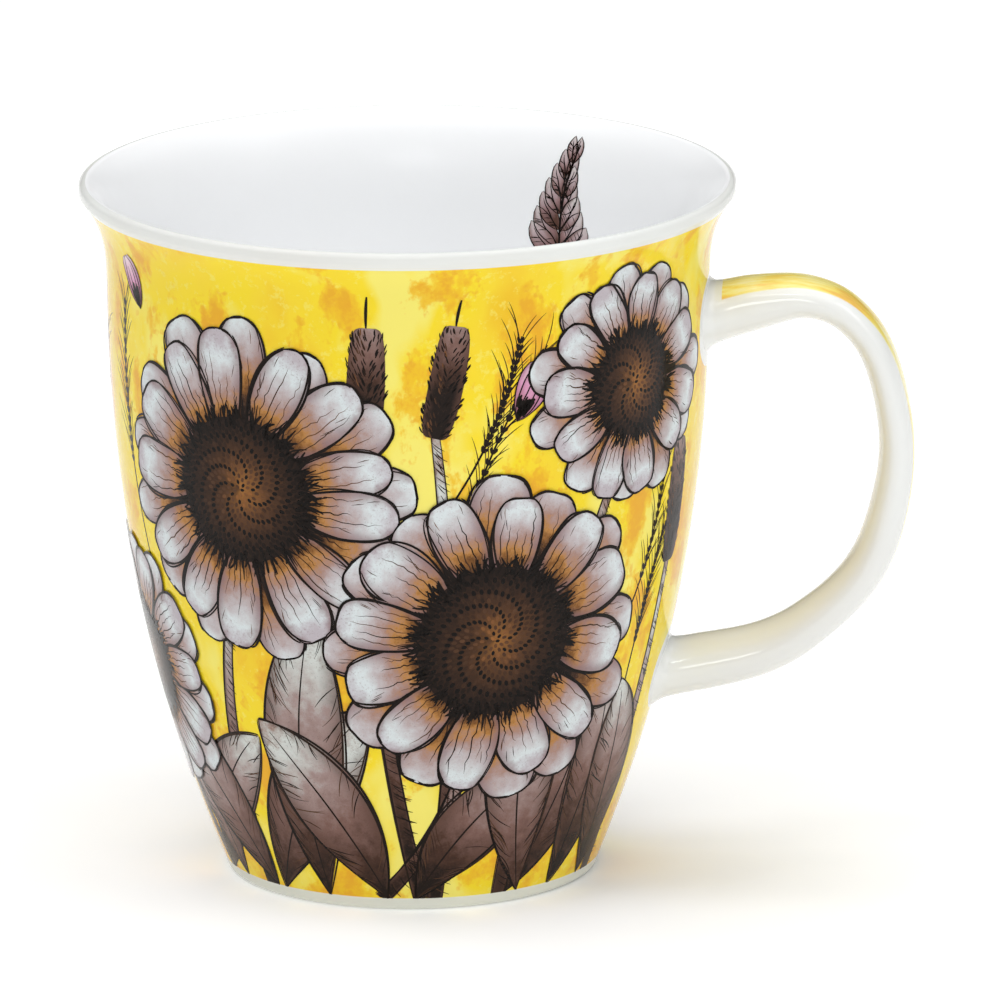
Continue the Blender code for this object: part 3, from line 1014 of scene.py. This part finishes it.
def draw_rush(angle, height, heading, length, half_width, level):
    """A velvety brown bulrush: a dark wash under hundreds of short upward strokes."""
    anchor, heading = (angle, height), math.radians(heading)

    def place(along, side):
        return bent_place((0, 0), heading, length, 0.08, half_width, along, side, *RUSH_SHAPE)

    leaves.patch(anchor, place, math.ceil(length / STROKE_STEP), 6, FILM * level, -0.42)
    for _ in range(int(length * half_width * RUSH_STROKES)):
        at, side = chance.uniform(0.0, 0.95), chance.uniform(-1.02, 1.02)
        lit = max(0.0, 0.75 - abs(side - 0.35) * 1.5)
        tip = place(min(at + 0.05, 0.995), side + math.copysign(0.18, side))
        ink.stroke(anchor, arc(place(at, side), tip, 0.1, 3), chance.uniform(*RUSH_PEN),
                   FILM * (level + 0.5), chance.uniform(0.0, 0.3) + lit * chance.uniform(0, 1),
                   0.4)
    spike = (length * math.cos(heading + 0.05), length * math.sin(heading + 0.05))
    top = (spike[0] * 1.24, spike[1] * 1.24)
    ink.stroke(anchor, arc(spike, top, 0.04, 6), SPIKE_PEN, FILM * level, 0.2, 0.5)


for stem in STEMS:
    draw_stem(*stem, level=STEM_LEVEL)
for rush in RUSHES:
    draw_rush(*rush, level=RUSH_LEVEL)
for number, leaf in enumerate(LEAVES):
    draw_leaf(*leaf, level=LEAF_LEVEL + number % 6)
leaves.build("print_leaves", wash_material("leaf_wash", *LEAF_WASH), in_cells=True)

# ---- 4. Flower heads -------------------------------------------------------------------
# Large daisy-like heads in two rings of petals, washed from a burnt ochre heart to pale
# blue-white tips, round a grainy seed disc that is built up from rows of ink dots.
FLOWERS = (                  # place, reach of the petals, disc radius, petals in a ring, tone
    (-31, 0.0700, 0.0280, 0.0112, 13, 0.00),
    (21, 0.0465, 0.0270, 0.0118, 12, -0.05),
    (51, 0.0850, 0.0200, 0.0080, 11, 0.06),
    (-76, 0.0360, 0.0215, 0.0082, 11, 0.06),
    (-120, 0.0760, 0.0250, 0.0100, 12, -0.04),
    (-160, 0.0440, 0.0260, 0.0112, 13, 0.03),
    (154, 0.0800, 0.0235, 0.0094, 12, -0.04),
    (126, 0.0390, 0.0165, 0.0066, 10, 0.06),
)
PETAL_FULLNESS, PETAL_TIP = 0.55, (0.30, 0.42)
PETAL_STEPS = 24
PETAL_PEN, TIP_PEN = (0.00022, 0.00046), (0.00024, 0.00040)
VEIN_PEN, FOOT_PEN, FLICK_PEN = (0.00012, 0.00024), (0.00022, 0.00044), 0.00014
PETAL_WAVER, TIP_WAVER, VEIN_WAVER = 0.00018, 0.00010, 0.00012
VEINS = (-0.62, -0.3, 0.02, 0.34, 0.66)    # their places across the petal
FOOT_STROKES, FLICKS = 9, 4
GOLDEN_ANGLE = math.radians(137.508)    # from each seed to the next, as they grow
SEED_SPACING, SEED_SIZE, SEED_GROWTH = 0.00052, 0.00026, 0.00012
SEED_STRETCH = 1.5
FRINGE_PEN, FRINGE_REACH = (0.00022, 0.00050), (0.0008, 0.0030)
FRINGE_STROKES = 26000       # to a metre of the disc's radius
LOWEST_FLOWER, FLOWER_PASSES = 9, 8    # colour passes under the first flower, and in each
PETAL_WASH = (
    ((0.04, (26, 17, 13)), (0.15, (62, 40, 26)), (0.26, (128, 84, 42)), (0.36, (178, 126, 70)),
     (0.48, (166, 134, 124)), (0.64, (188, 178, 180)), (0.82, (214, 222, 224)),
     (1.0, (186, 178, 184))),
    (132, 104, 106), (112, 86, 80),
)
DISC_WASH = (
    ((0.0, (30, 20, 16)), (0.3, (52, 34, 24)), (0.6, (92, 60, 36)), (1.0, (150, 100, 50))),
    (44, 28, 20), (24, 16, 12),
)
chance = random.Random(5)
petals, pen = Pass(), Pass()
discs, seeds = Pass(), Pass()


def draw_petal(anchor, heading, foot, length, half_width, bow, level, tone):
    """One petal: its wash, a scratchy outline, veins and dark strokes at its foot."""
    start = (foot * math.cos(heading), foot * math.sin(heading))
    tip = chance.uniform(*PETAL_TIP)

    def place(along, side):
        return bent_place(start, heading, length, bow, half_width, along, side,
                          PETAL_FULLNESS, tip)

    petals.patch(anchor, place, PETAL_STEPS, 10, FILM * level, tone)
    over = FILM * (level + 0.5)
    for side in (-1, 1):
        for _ in range(chance.choice((2, 2, 3))):
            edge = side * chance.uniform(0.93, 1.07)
            first, final = chance.uniform(0.0, 0.12), chance.uniform(0.94, 1.0)
            line = [place(first + (final - first) * eased(step / PETAL_STEPS), edge)
                    for step in range(PETAL_STEPS + 1)]
            pen.stroke(anchor, wavered(line, PETAL_WAVER, chance), chance.uniform(*PETAL_PEN),
                       over, chance.uniform(0.0, 0.35))
    for _ in range(2):
        reach = chance.uniform(0.08, 0.2)
        turns = [place(1 - reach * (1 - step / 7) ** 2.5, -1.0) for step in range(8)]
        turns += [place(1 - reach * (step / 7) ** 2.5, 1.0) for step in range(1, 8)]
        pen.stroke(anchor, wavered(turns, TIP_WAVER, chance), chance.uniform(*TIP_PEN),
                   over, chance.uniform(0.0, 0.35), 0.2)
    for side in VEINS:
        final = chance.uniform(0.45, 0.9)
        line = [place(0.04 + (final - 0.04) * step / 14, side + chance.uniform(-0.05, 0.05))
                for step in range(15)]
        pen.stroke(anchor, wavered(line, VEIN_WAVER, chance), chance.uniform(*VEIN_PEN),
                   over, chance.uniform(0.2, 0.75), 0.1)
    for _ in range(FOOT_STROKES):
        side, final = chance.uniform(-0.9, 0.9), chance.uniform(0.14, 0.36)
        line = [place(final * step / 5, side * (0.7 + 0.3 * step / 5)) for step in range(6)]
        pen.stroke(anchor, line, chance.uniform(*FOOT_PEN), over, chance.uniform(0.0, 0.3), 0.4)
    for _ in range(FLICKS):
        at = chance.uniform(0.55, 0.93)
        side = chance.choice((-1, 1)) * chance.uniform(0.5, 0.95)
        line = [place(at, side), place(at - 0.05, side * 0.92), place(at - 0.12, side * 0.8)]
        pen.stroke(anchor, line, FLICK_PEN, over, chance.uniform(0.3, 0.8))


def draw_disc(anchor, radius, level, tone):
    """A dark disc with a ragged rim, under spirals of seeds that lighten at the middle."""
    def place(along, side):
        turn, out = -math.pi * side, radius * 1.04 * (1 - along)
        return out * math.cos(turn), out * math.sin(turn)

    discs.patch(anchor, place, 8, 56, FILM * level, tone)
    over = FILM * (level + 0.5)
    spots = int((radius / SEED_SPACING) ** 2)
    for spot in range(spots):
        out = radius * 0.98 * math.sqrt((spot + 0.5) / spots)
        turn = spot * GOLDEN_ANGLE
        share = out / radius
        tone = 0.25 + 0.75 * (1 - share) * chance.uniform(0.5, 1.1) if spot % 3 else 0.05
        seeds.dot(anchor, (out * math.cos(turn), out * math.sin(turn)),
                  SEED_SIZE + SEED_GROWTH * share, over, min(tone, 1.0), SEED_STRETCH, turn)
    for _ in range(int(radius * FRINGE_STROKES)):
        turn, out = chance.uniform(0, 2 * math.pi), radius * chance.uniform(0.86, 1.04)
        reach = out + chance.uniform(*FRINGE_REACH)
        lean = turn + chance.uniform(-0.12, 0.12)
        line = arc((out * math.cos(turn), out * math.sin(turn)),
                   (reach * math.cos(lean), reach * math.sin(lean)), 0.1, 4)
        seeds.stroke(anchor, line, chance.uniform(*FRINGE_PEN), over,
                     chance.uniform(0.0, 0.22), 0.5)


def draw_flower(angle, height, reach, radius, count, tone, level):
    """A ring of long darker petals, a ring of shorter ones over their gaps, and the disc."""
    anchor = (angle, height)
    turn = chance.uniform(0, math.pi)
    foot = radius * 0.80
    wide = math.pi * (foot + reach) / 2 / count
    for ring, (longer, wider, shade) in enumerate(((1.0, 1.02, -0.20), (0.90, 0.92, 0.04))):
        for petal in range(count):
            heading = turn + 2 * math.pi * (petal + 0.5 * ring) / count
            heading += chance.uniform(-0.07, 0.07)
            length = (reach - foot) * longer * chance.uniform(0.88, 1.04)
            draw_petal(anchor, heading, foot, length, wide * wider * chance.uniform(0.9, 1.1),
                       chance.uniform(-0.22, 0.22), level + 3 * ring + petal % 3,
                       tone + shade + chance.uniform(-0.06, 0.06))
    draw_disc(anchor, radius, level + 6, tone)


for number, flower in enumerate(FLOWERS):
    draw_flower(*flower, level=LOWEST_FLOWER + FLOWER_PASSES * (number % 2))
petals.build("print_petals", wash_material("petal_wash", *PETAL_WASH), in_cells=True)
discs.build("print_discs", wash_material("disc_wash", *DISC_WASH), in_cells=True)
seeds.build("print_seeds", INK, in_cells=False)
pen.build("print_petal_lines", INK, in_cells=False)

# ---- 5. Buds and grasses ---------------------------------------------------------------
# Closed pink buds and long whiskery grasses fill the yellow ground between the flower
# heads. They belong to the same transfer: the buds are washed, the grasses only inked.
BUDS = (                     # place, heading in degrees, length
    (24, 0.0820, 62, 0.0100), (-58, 0.0950, 112, 0.0085), (-98, 0.0945, 80, 0.0085),
    (-140, 0.0300, 96, 0.0090), (176, 0.0620, 100, 0.0100), (128, 0.0880, 70, 0.0090),
)
GRASSES = (                  # foot, heading, length, bow
    (8, 0.030, 74, 0.066, 0.16), (-10, 0.020, 112, 0.060, -0.16), (38, 0.030, 66, 0.050, -0.2),
    (-58, 0.040, 96, 0.056, 0.10), (60, 0.020, 84, 0.040, 0.12), (2, 0.060, 62, 0.040, -0.14),
    (-96, 0.020, 80, 0.070, 0.14), (-146, 0.040, 102, 0.058, 0.12), (172, 0.030, 86, 0.064, -0.1),
    (140, 0.020, 76, 0.060, -0.16), (116, 0.050, 96, 0.044, 0.12), (-20, 0.030, 66, 0.036, 0.2),
)
BUD_PEN, SCALE_PEN, SCALE_LENGTH = 0.00024, (0.0003, 0.0006), 0.0016
STALK_PEN, AWN_PEN, AWN_LENGTHS = 0.00036, 0.00017, (0.004, 0.009)
STALK_STEPS, FIRST_AWN = 72, 38
GRAIN_SIZE, GRAIN_STRETCH, GRAIN_OFFSET = 0.0003, 2.2, 0.0006
BUD_SHAPE, BUD_SLIMNESS, BUD_WAVER = (0.8, 0.55), 0.19, 0.0001
BUD_SCALES = 34
BUD_WASH = (
    ((0.05, (92, 60, 52)), (0.3, (176, 120, 130)), (0.55, (216, 156, 190)),
     (0.8, (228, 190, 206)), (1.0, (236, 214, 220))),
    (164, 104, 130), (140, 88, 100),
)
chance = random.Random(23)
buds = Pass()


def draw_bud(angle, height, heading, length):
    """A closed bud: pink petals in a dark cup of little scales."""
    anchor, heading = (angle, height), math.radians(heading)
    for lean, level in ((-0.20, 6), (0.22, 7), (0.0, 8)):
        def place(along, side, lean=lean):
            return bent_place((0, 0), heading + lean, length, -lean, length * BUD_SLIMNESS,
                              along, side, *BUD_SHAPE)
        buds.patch(anchor, place, 10, 6, FILM * level, chance.uniform(-0.05, 0.1))
        over = FILM * (level + 0.5)
        for side in (-1, 1, -0.4, 0.35):
            final = 1.0 if abs(side) == 1 else 0.8
            line = [place(final * step / 10, side) for step in range(11)]
            ink.stroke(anchor, wavered(line, BUD_WAVER, chance), BUD_PEN, over, 0.2)
    for _ in range(BUD_SCALES):
        lean, at = chance.uniform(-0.5, 0.5), chance.uniform(0.0, 0.3) * length
        foot = (at * math.cos(heading + lean), at * math.sin(heading + lean))
        tip = (foot[0] + SCALE_LENGTH * math.cos(heading + lean * 0.5),
               foot[1] + SCALE_LENGTH * math.sin(heading + lean * 0.5))
        ink.stroke(anchor, arc(foot, tip, 0.1, 4), chance.uniform(*SCALE_PEN),
                   FILM * 9, chance.uniform(0.0, 0.3), 0.6)


def draw_grass(angle, height, heading, length, bow):
    """A thin stalk that nods over, with awns fanning from its upper half."""
    anchor, heading = (angle, height), math.radians(heading)
    tip = (length * math.cos(heading), length * math.sin(heading))
    line = arc((0, 0), tip, bow, STALK_STEPS)
    ink.stroke(anchor, line, STALK_PEN, FILM, 0.15, 0.5)
    for index in range(FIRST_AWN, STALK_STEPS, 2):
        for side in (-1, 1):
            x, y = line[index]
            ahead = line[index + 1]
            turn = math.atan2(ahead[1] - y, ahead[0] - x) + side * chance.uniform(0.25, 0.6)
            awn = chance.uniform(*AWN_LENGTHS)
            end = (x + awn * math.cos(turn), y + awn * math.sin(turn))
            ink.stroke(anchor, arc((x, y), end, side * -0.12, 8), AWN_PEN, FILM,
                       chance.uniform(0.1, 0.6), 0.15)
            grain = (x + GRAIN_OFFSET * math.cos(turn), y + GRAIN_OFFSET * math.sin(turn))
            ink.dot(anchor, grain, GRAIN_SIZE, FILM * 1.1, 0.3, GRAIN_STRETCH, turn)


for bud in BUDS:
    draw_bud(*bud)
for grass in GRASSES:
    draw_grass(*grass)
buds.build("print_buds", wash_material("bud_wash", *BUD_WASH), in_cells=True)
ink.build("print_lines", INK, in_cells=False)

# ---- 6. Sprig inside the rim -----------------------------------------------------------
# A small leafy sprig stands by itself on the inner wall, across from the drinker. It is a
# second, smaller transfer in the same umber and grey, slid on before the last firing.
SPRIG = (150, 0.0850)        # place of its foot
SPRIG_TOP, SPRIG_BOW = (0.0022, 0.0200), 0.12
SPRIG_STEPS, SPRIG_SPACING = 24, 3
SPRIG_LEAF, SPRIG_LEAF_LOSS = 0.0086, 0.00024    # length, shorter by this at every step
SPRIG_LEAN, SPRIG_LEAN_LOSS = 1.05, 0.03
SPRIG_SHAPE, SPRIG_SLIMNESS = (0.8, 0.8), 0.24
SPRIG_STEM_PEN, SPRIG_PEN, SPRIG_VEIN_PEN = 0.0004, 0.00022, 0.00015
SPRIG_WAVER, SPRIG_VEINS = 0.00008, 5
SPRIG_WASH = (
    ((0.1, (90, 62, 52)), (0.35, (150, 118, 118)), (0.65, (196, 176, 178)),
     (1.0, (214, 206, 204))),
    (128, 96, 88), (96, 66, 56),
)
chance = random.Random(3)


def inside_wall(anchor, across, up, lift):
    """Point and normal a step across and up from an anchor on the inner wall."""
    height = anchor[1] + up
    radius, level = inner_point(height)
    radial, upward = wall_normal(height)
    angle = math.radians(anchor[0]) - across / radius
    reach = radius - radial * lift
    side, front = math.sin(angle), -math.cos(angle)
    return ((AXIS_X + reach * side, reach * front, level - upward * lift),
            (-radial * side, -radial * front, -upward))


sprig_wash, sprig_ink = Pass(inside_wall), Pass(inside_wall)


def draw_sprig_leaf(foot, index, side):
    """One small leaf, shorter and steeper the higher it grows: wash, outline and veins."""
    heading = math.pi / 2 + side * (SPRIG_LEAN - SPRIG_LEAN_LOSS * index)
    size = SPRIG_LEAF - SPRIG_LEAF_LOSS * index

    def place(along, edge):
        return bent_place(foot, heading, size, -0.5 * side, size * SPRIG_SLIMNESS,
                          along, edge, *SPRIG_SHAPE)

    sprig_wash.patch(SPRIG, place, 10, 5, FILM * (1 + index % 2), chance.uniform(-0.2, 0.25))
    for edge, final in ((-1, 1), (1, 1), (0.05, 0.85)):
        line = [place(step / 9 * final, edge) for step in range(10)]
        sprig_ink.stroke(SPRIG, wavered(line, SPRIG_WAVER, chance), SPRIG_PEN, FILM * 4,
                         chance.uniform(0.0, 0.3))
    for _ in range(SPRIG_VEINS):
        at = chance.uniform(0.1, 0.7)
        line = [place(at, 0.1), place(at + 0.06, 0.5), place(at + 0.1, 0.9)]
        sprig_ink.stroke(SPRIG, line, SPRIG_VEIN_PEN, FILM * 4, 0.3)


sprig_stem = arc((0.0, 0.0), SPRIG_TOP, SPRIG_BOW, SPRIG_STEPS)
sprig_ink.stroke(SPRIG, sprig_stem, SPRIG_STEM_PEN, FILM * 3, 0.1, 0.6)
for index in range(SPRIG_SPACING, SPRIG_STEPS, SPRIG_SPACING):
    for side in (-1, 1):
        draw_sprig_leaf(sprig_stem[index], index, side)
sprig_wash.build("inside_sprig", wash_material("sprig_wash", *SPRIG_WASH), in_cells=True)
sprig_ink.build("inside_sprig_ink", INK, in_cells=False)

# ---- 7. Table, light and view ----------------------------------------------------------
# The mug stands on a studio table of white opal glass. Its top has a painted glow, lower in a soft
# oval of painted shadow under the mug. A very broad soft light and a window light it, with pale
# cards around.
TABLE_WHITE = (243, 243, 242)
TABLE_SHADE = (240, 240, 239)
TABLE_DULLNESS, TABLE_SHEEN = 0.9, 0.2
# painted glow of the table top, and the lower glow left inside the painted shadow
TABLE_PAINTED_GLOW, PAINTED_SHADOW_GLOW = 0.26, 0.03
PAINTED_SHADOW_PLACE = (0.030, -0.004)    # the painted shadow's oval reaches under the handle
PAINTED_SHADOW_REACH = (0.071, 0.031)
TABLE_SIZE, TABLE_DROP = 8.0, 0.00002    # the drop keeps it clear of the foot ring
LIGHTS = (                   # name, place, size, power in watts
    ("overhead", (0.0, 0.0, 1.6), (1.8, 1.8), 9.4),
    ("overhead_back", (0.0, 0.6, 1.2), (0.8, 0.6), 1.1),
    ("window", (-0.62, 0.03, 1.15), (0.45, 0.45), 2.2),
    ("tube", (-0.10, -0.62, 1.25), (0.9, 0.05), 1.7),
    ("right_card", (0.9, -0.2, 1.0), (0.5, 0.5), 2.0),
    ("low_card", (1.1, -0.5, 0.6), (0.3, 0.8), 1.0),
    ("front_card", (0.0, -1.3, 0.55), (0.5, 0.3), 2.6),
)
LIGHT_AIM_HEIGHT = 0.05
ROOM_WALLS, ROOM_FRONT, ROOM_CEILING = 0.13, 0.33, 0.58
ROOM_FLOOR = 0.66            # the pale floor of the room, out beyond the table
LOOK_AZIMUTH, LOOK_ELEVATION, LOOK_ROLL = 3.0, 14.6, -0.33    # degrees
LOOK_DISTANCE, LOOK_LENS = 2.2, 507.2    # metres and millimetres: far off, through a long lens
LOOK_ASIDE, LOOK_HEIGHT = 0.01408, 0.0582    # the view's middle, from the cup's own axis
LOOK_SENSOR, LOOK_FARTHEST = 36.0, 50.0    # millimetres and metres


def make_table():
    """The table top with a painted glow, and a soft dark oval of painted shadow under the mug."""
    bpy.ops.mesh.primitive_plane_add(size=TABLE_SIZE, location=(0.0, 0.0, -TABLE_DROP))
    table = bpy.context.object
    table.name = "table"
    material = bpy.data.materials.new("table_white")
    material.use_nodes = True
    tree = material.node_tree
    shader = tree.nodes["Principled BSDF"]
    shader.inputs["Roughness"].default_value = TABLE_DULLNESS
    shader.inputs["Specular IOR Level"].default_value = TABLE_SHEEN
    shader.inputs["Emission Color"].default_value = (1.0, 1.0, 1.0, 1.0)
    place = add_node(tree, "ShaderNodeTexCoord").outputs["Object"]
    mottle = ramp(tree, noise(tree, place, 60.0, 3.0), ((0.3, TABLE_SHADE), (0.7, TABLE_WHITE)))
    tree.links.new(mottle, shader.inputs["Base Color"])
    x, y, _ = add_node(tree, "ShaderNodeSeparateXYZ", {0: place}).outputs
    # Painted shadow: the painted glow drops to its low value in an oval under the mug and handle.
    across = calculate(tree, "MULTIPLY_ADD", x, 1.0 / PAINTED_SHADOW_REACH[0],
                       -(AXIS_X + PAINTED_SHADOW_PLACE[0]) / PAINTED_SHADOW_REACH[0])
    along = calculate(tree, "MULTIPLY_ADD", y, 1.0 / PAINTED_SHADOW_REACH[1],
                      -PAINTED_SHADOW_PLACE[1] / PAINTED_SHADOW_REACH[1])
    square = calculate(tree, "MULTIPLY_ADD", across, across,
                       calculate(tree, "MULTIPLY", along, along))
    lit = rise(tree, calculate(tree, "SQRT", square), 0.0, 1.0)
    tree.links.new(calculate(tree, "MULTIPLY_ADD", lit, TABLE_PAINTED_GLOW - PAINTED_SHADOW_GLOW, PAINTED_SHADOW_GLOW),
                   shader.inputs["Emission Strength"])
    table.data.materials.append(material)


def soft_light(name, place, size, power):
    """A rectangle of light that faces the middle of the mug."""
    light = bpy.data.lights.new(name, "AREA")
    light.shape = "RECTANGLE"
    light.size, light.size_y = size
    light.energy = power
    lamp = add_object(name, light)
    lamp.location = place
    towards = Vector((0.0, 0.0, LIGHT_AIM_HEIGHT)) - Vector(place)
    lamp.rotation_euler = towards.to_track_quat("-Z", "Y").to_euler()


def make_room():
    """Pale surroundings: walls, a brighter front and ceiling, and the floor far below."""
    world = bpy.data.worlds.new("studio")
    world.use_nodes = True
    tree = world.node_tree
    facing = add_node(tree, "ShaderNodeTexCoord").outputs["Generated"]
    _, y, z = add_node(tree, "ShaderNodeSeparateXYZ", {0: facing}).outputs
    walls, ceiling = rise(tree, z, 0.15, 0.35), rise(tree, z, 0.45, 0.75)
    front = calculate(tree, "MULTIPLY", rise(tree, y, 0.1, -0.4),
                      calculate(tree, "SUBTRACT", walls, ceiling))
    level = calculate(tree, "MULTIPLY", walls, ROOM_WALLS)
    level = calculate(tree, "MULTIPLY_ADD", ceiling, ROOM_CEILING - ROOM_WALLS, level)
    level = calculate(tree, "MULTIPLY_ADD", front, ROOM_FRONT, level)
    level = calculate(tree, "MULTIPLY_ADD", rise(tree, z, 0.10, 0.01), ROOM_FLOOR, level)
    background = tree.nodes["Background"]
    tree.links.new(level, background.inputs["Strength"])
    background.inputs["Color"].default_value = (1.0, 1.0, 1.0, 1.0)
    bpy.context.scene.world = world


def make_view():
    """The camera, a little above the rim and looking down."""
    azimuth, elevation = math.radians(LOOK_AZIMUTH), math.radians(LOOK_ELEVATION)
    right = Vector((math.cos(azimuth), math.sin(azimuth), 0.0))
    level = Vector((-math.sin(azimuth), math.cos(azimuth), 0.0))
    forward = level * math.cos(elevation) - Vector((0.0, 0.0, math.sin(elevation)))
    target = Vector((AXIS_X, 0.0, LOOK_HEIGHT)) + right * LOOK_ASIDE
    turned = Matrix((right, right.cross(forward), -forward)).transposed()
    turned = turned @ Matrix.Rotation(math.radians(LOOK_ROLL), 3, "Z")
    camera = add_object("view", bpy.data.cameras.new("view"))
    camera.data.lens = LOOK_LENS
    camera.data.sensor_width = LOOK_SENSOR
    camera.data.clip_end = LOOK_FARTHEST
    camera.matrix_world = (Matrix.Translation(target - forward * LOOK_DISTANCE)
                           @ turned.to_4x4())
    bpy.context.scene.camera = camera


make_table()
for light in LIGHTS:
    soft_light(*light)
make_room()
make_view()
bpy.context.scene.view_settings.view_transform = "Standard"
bpy.context.scene.view_settings.exposure = 0.0
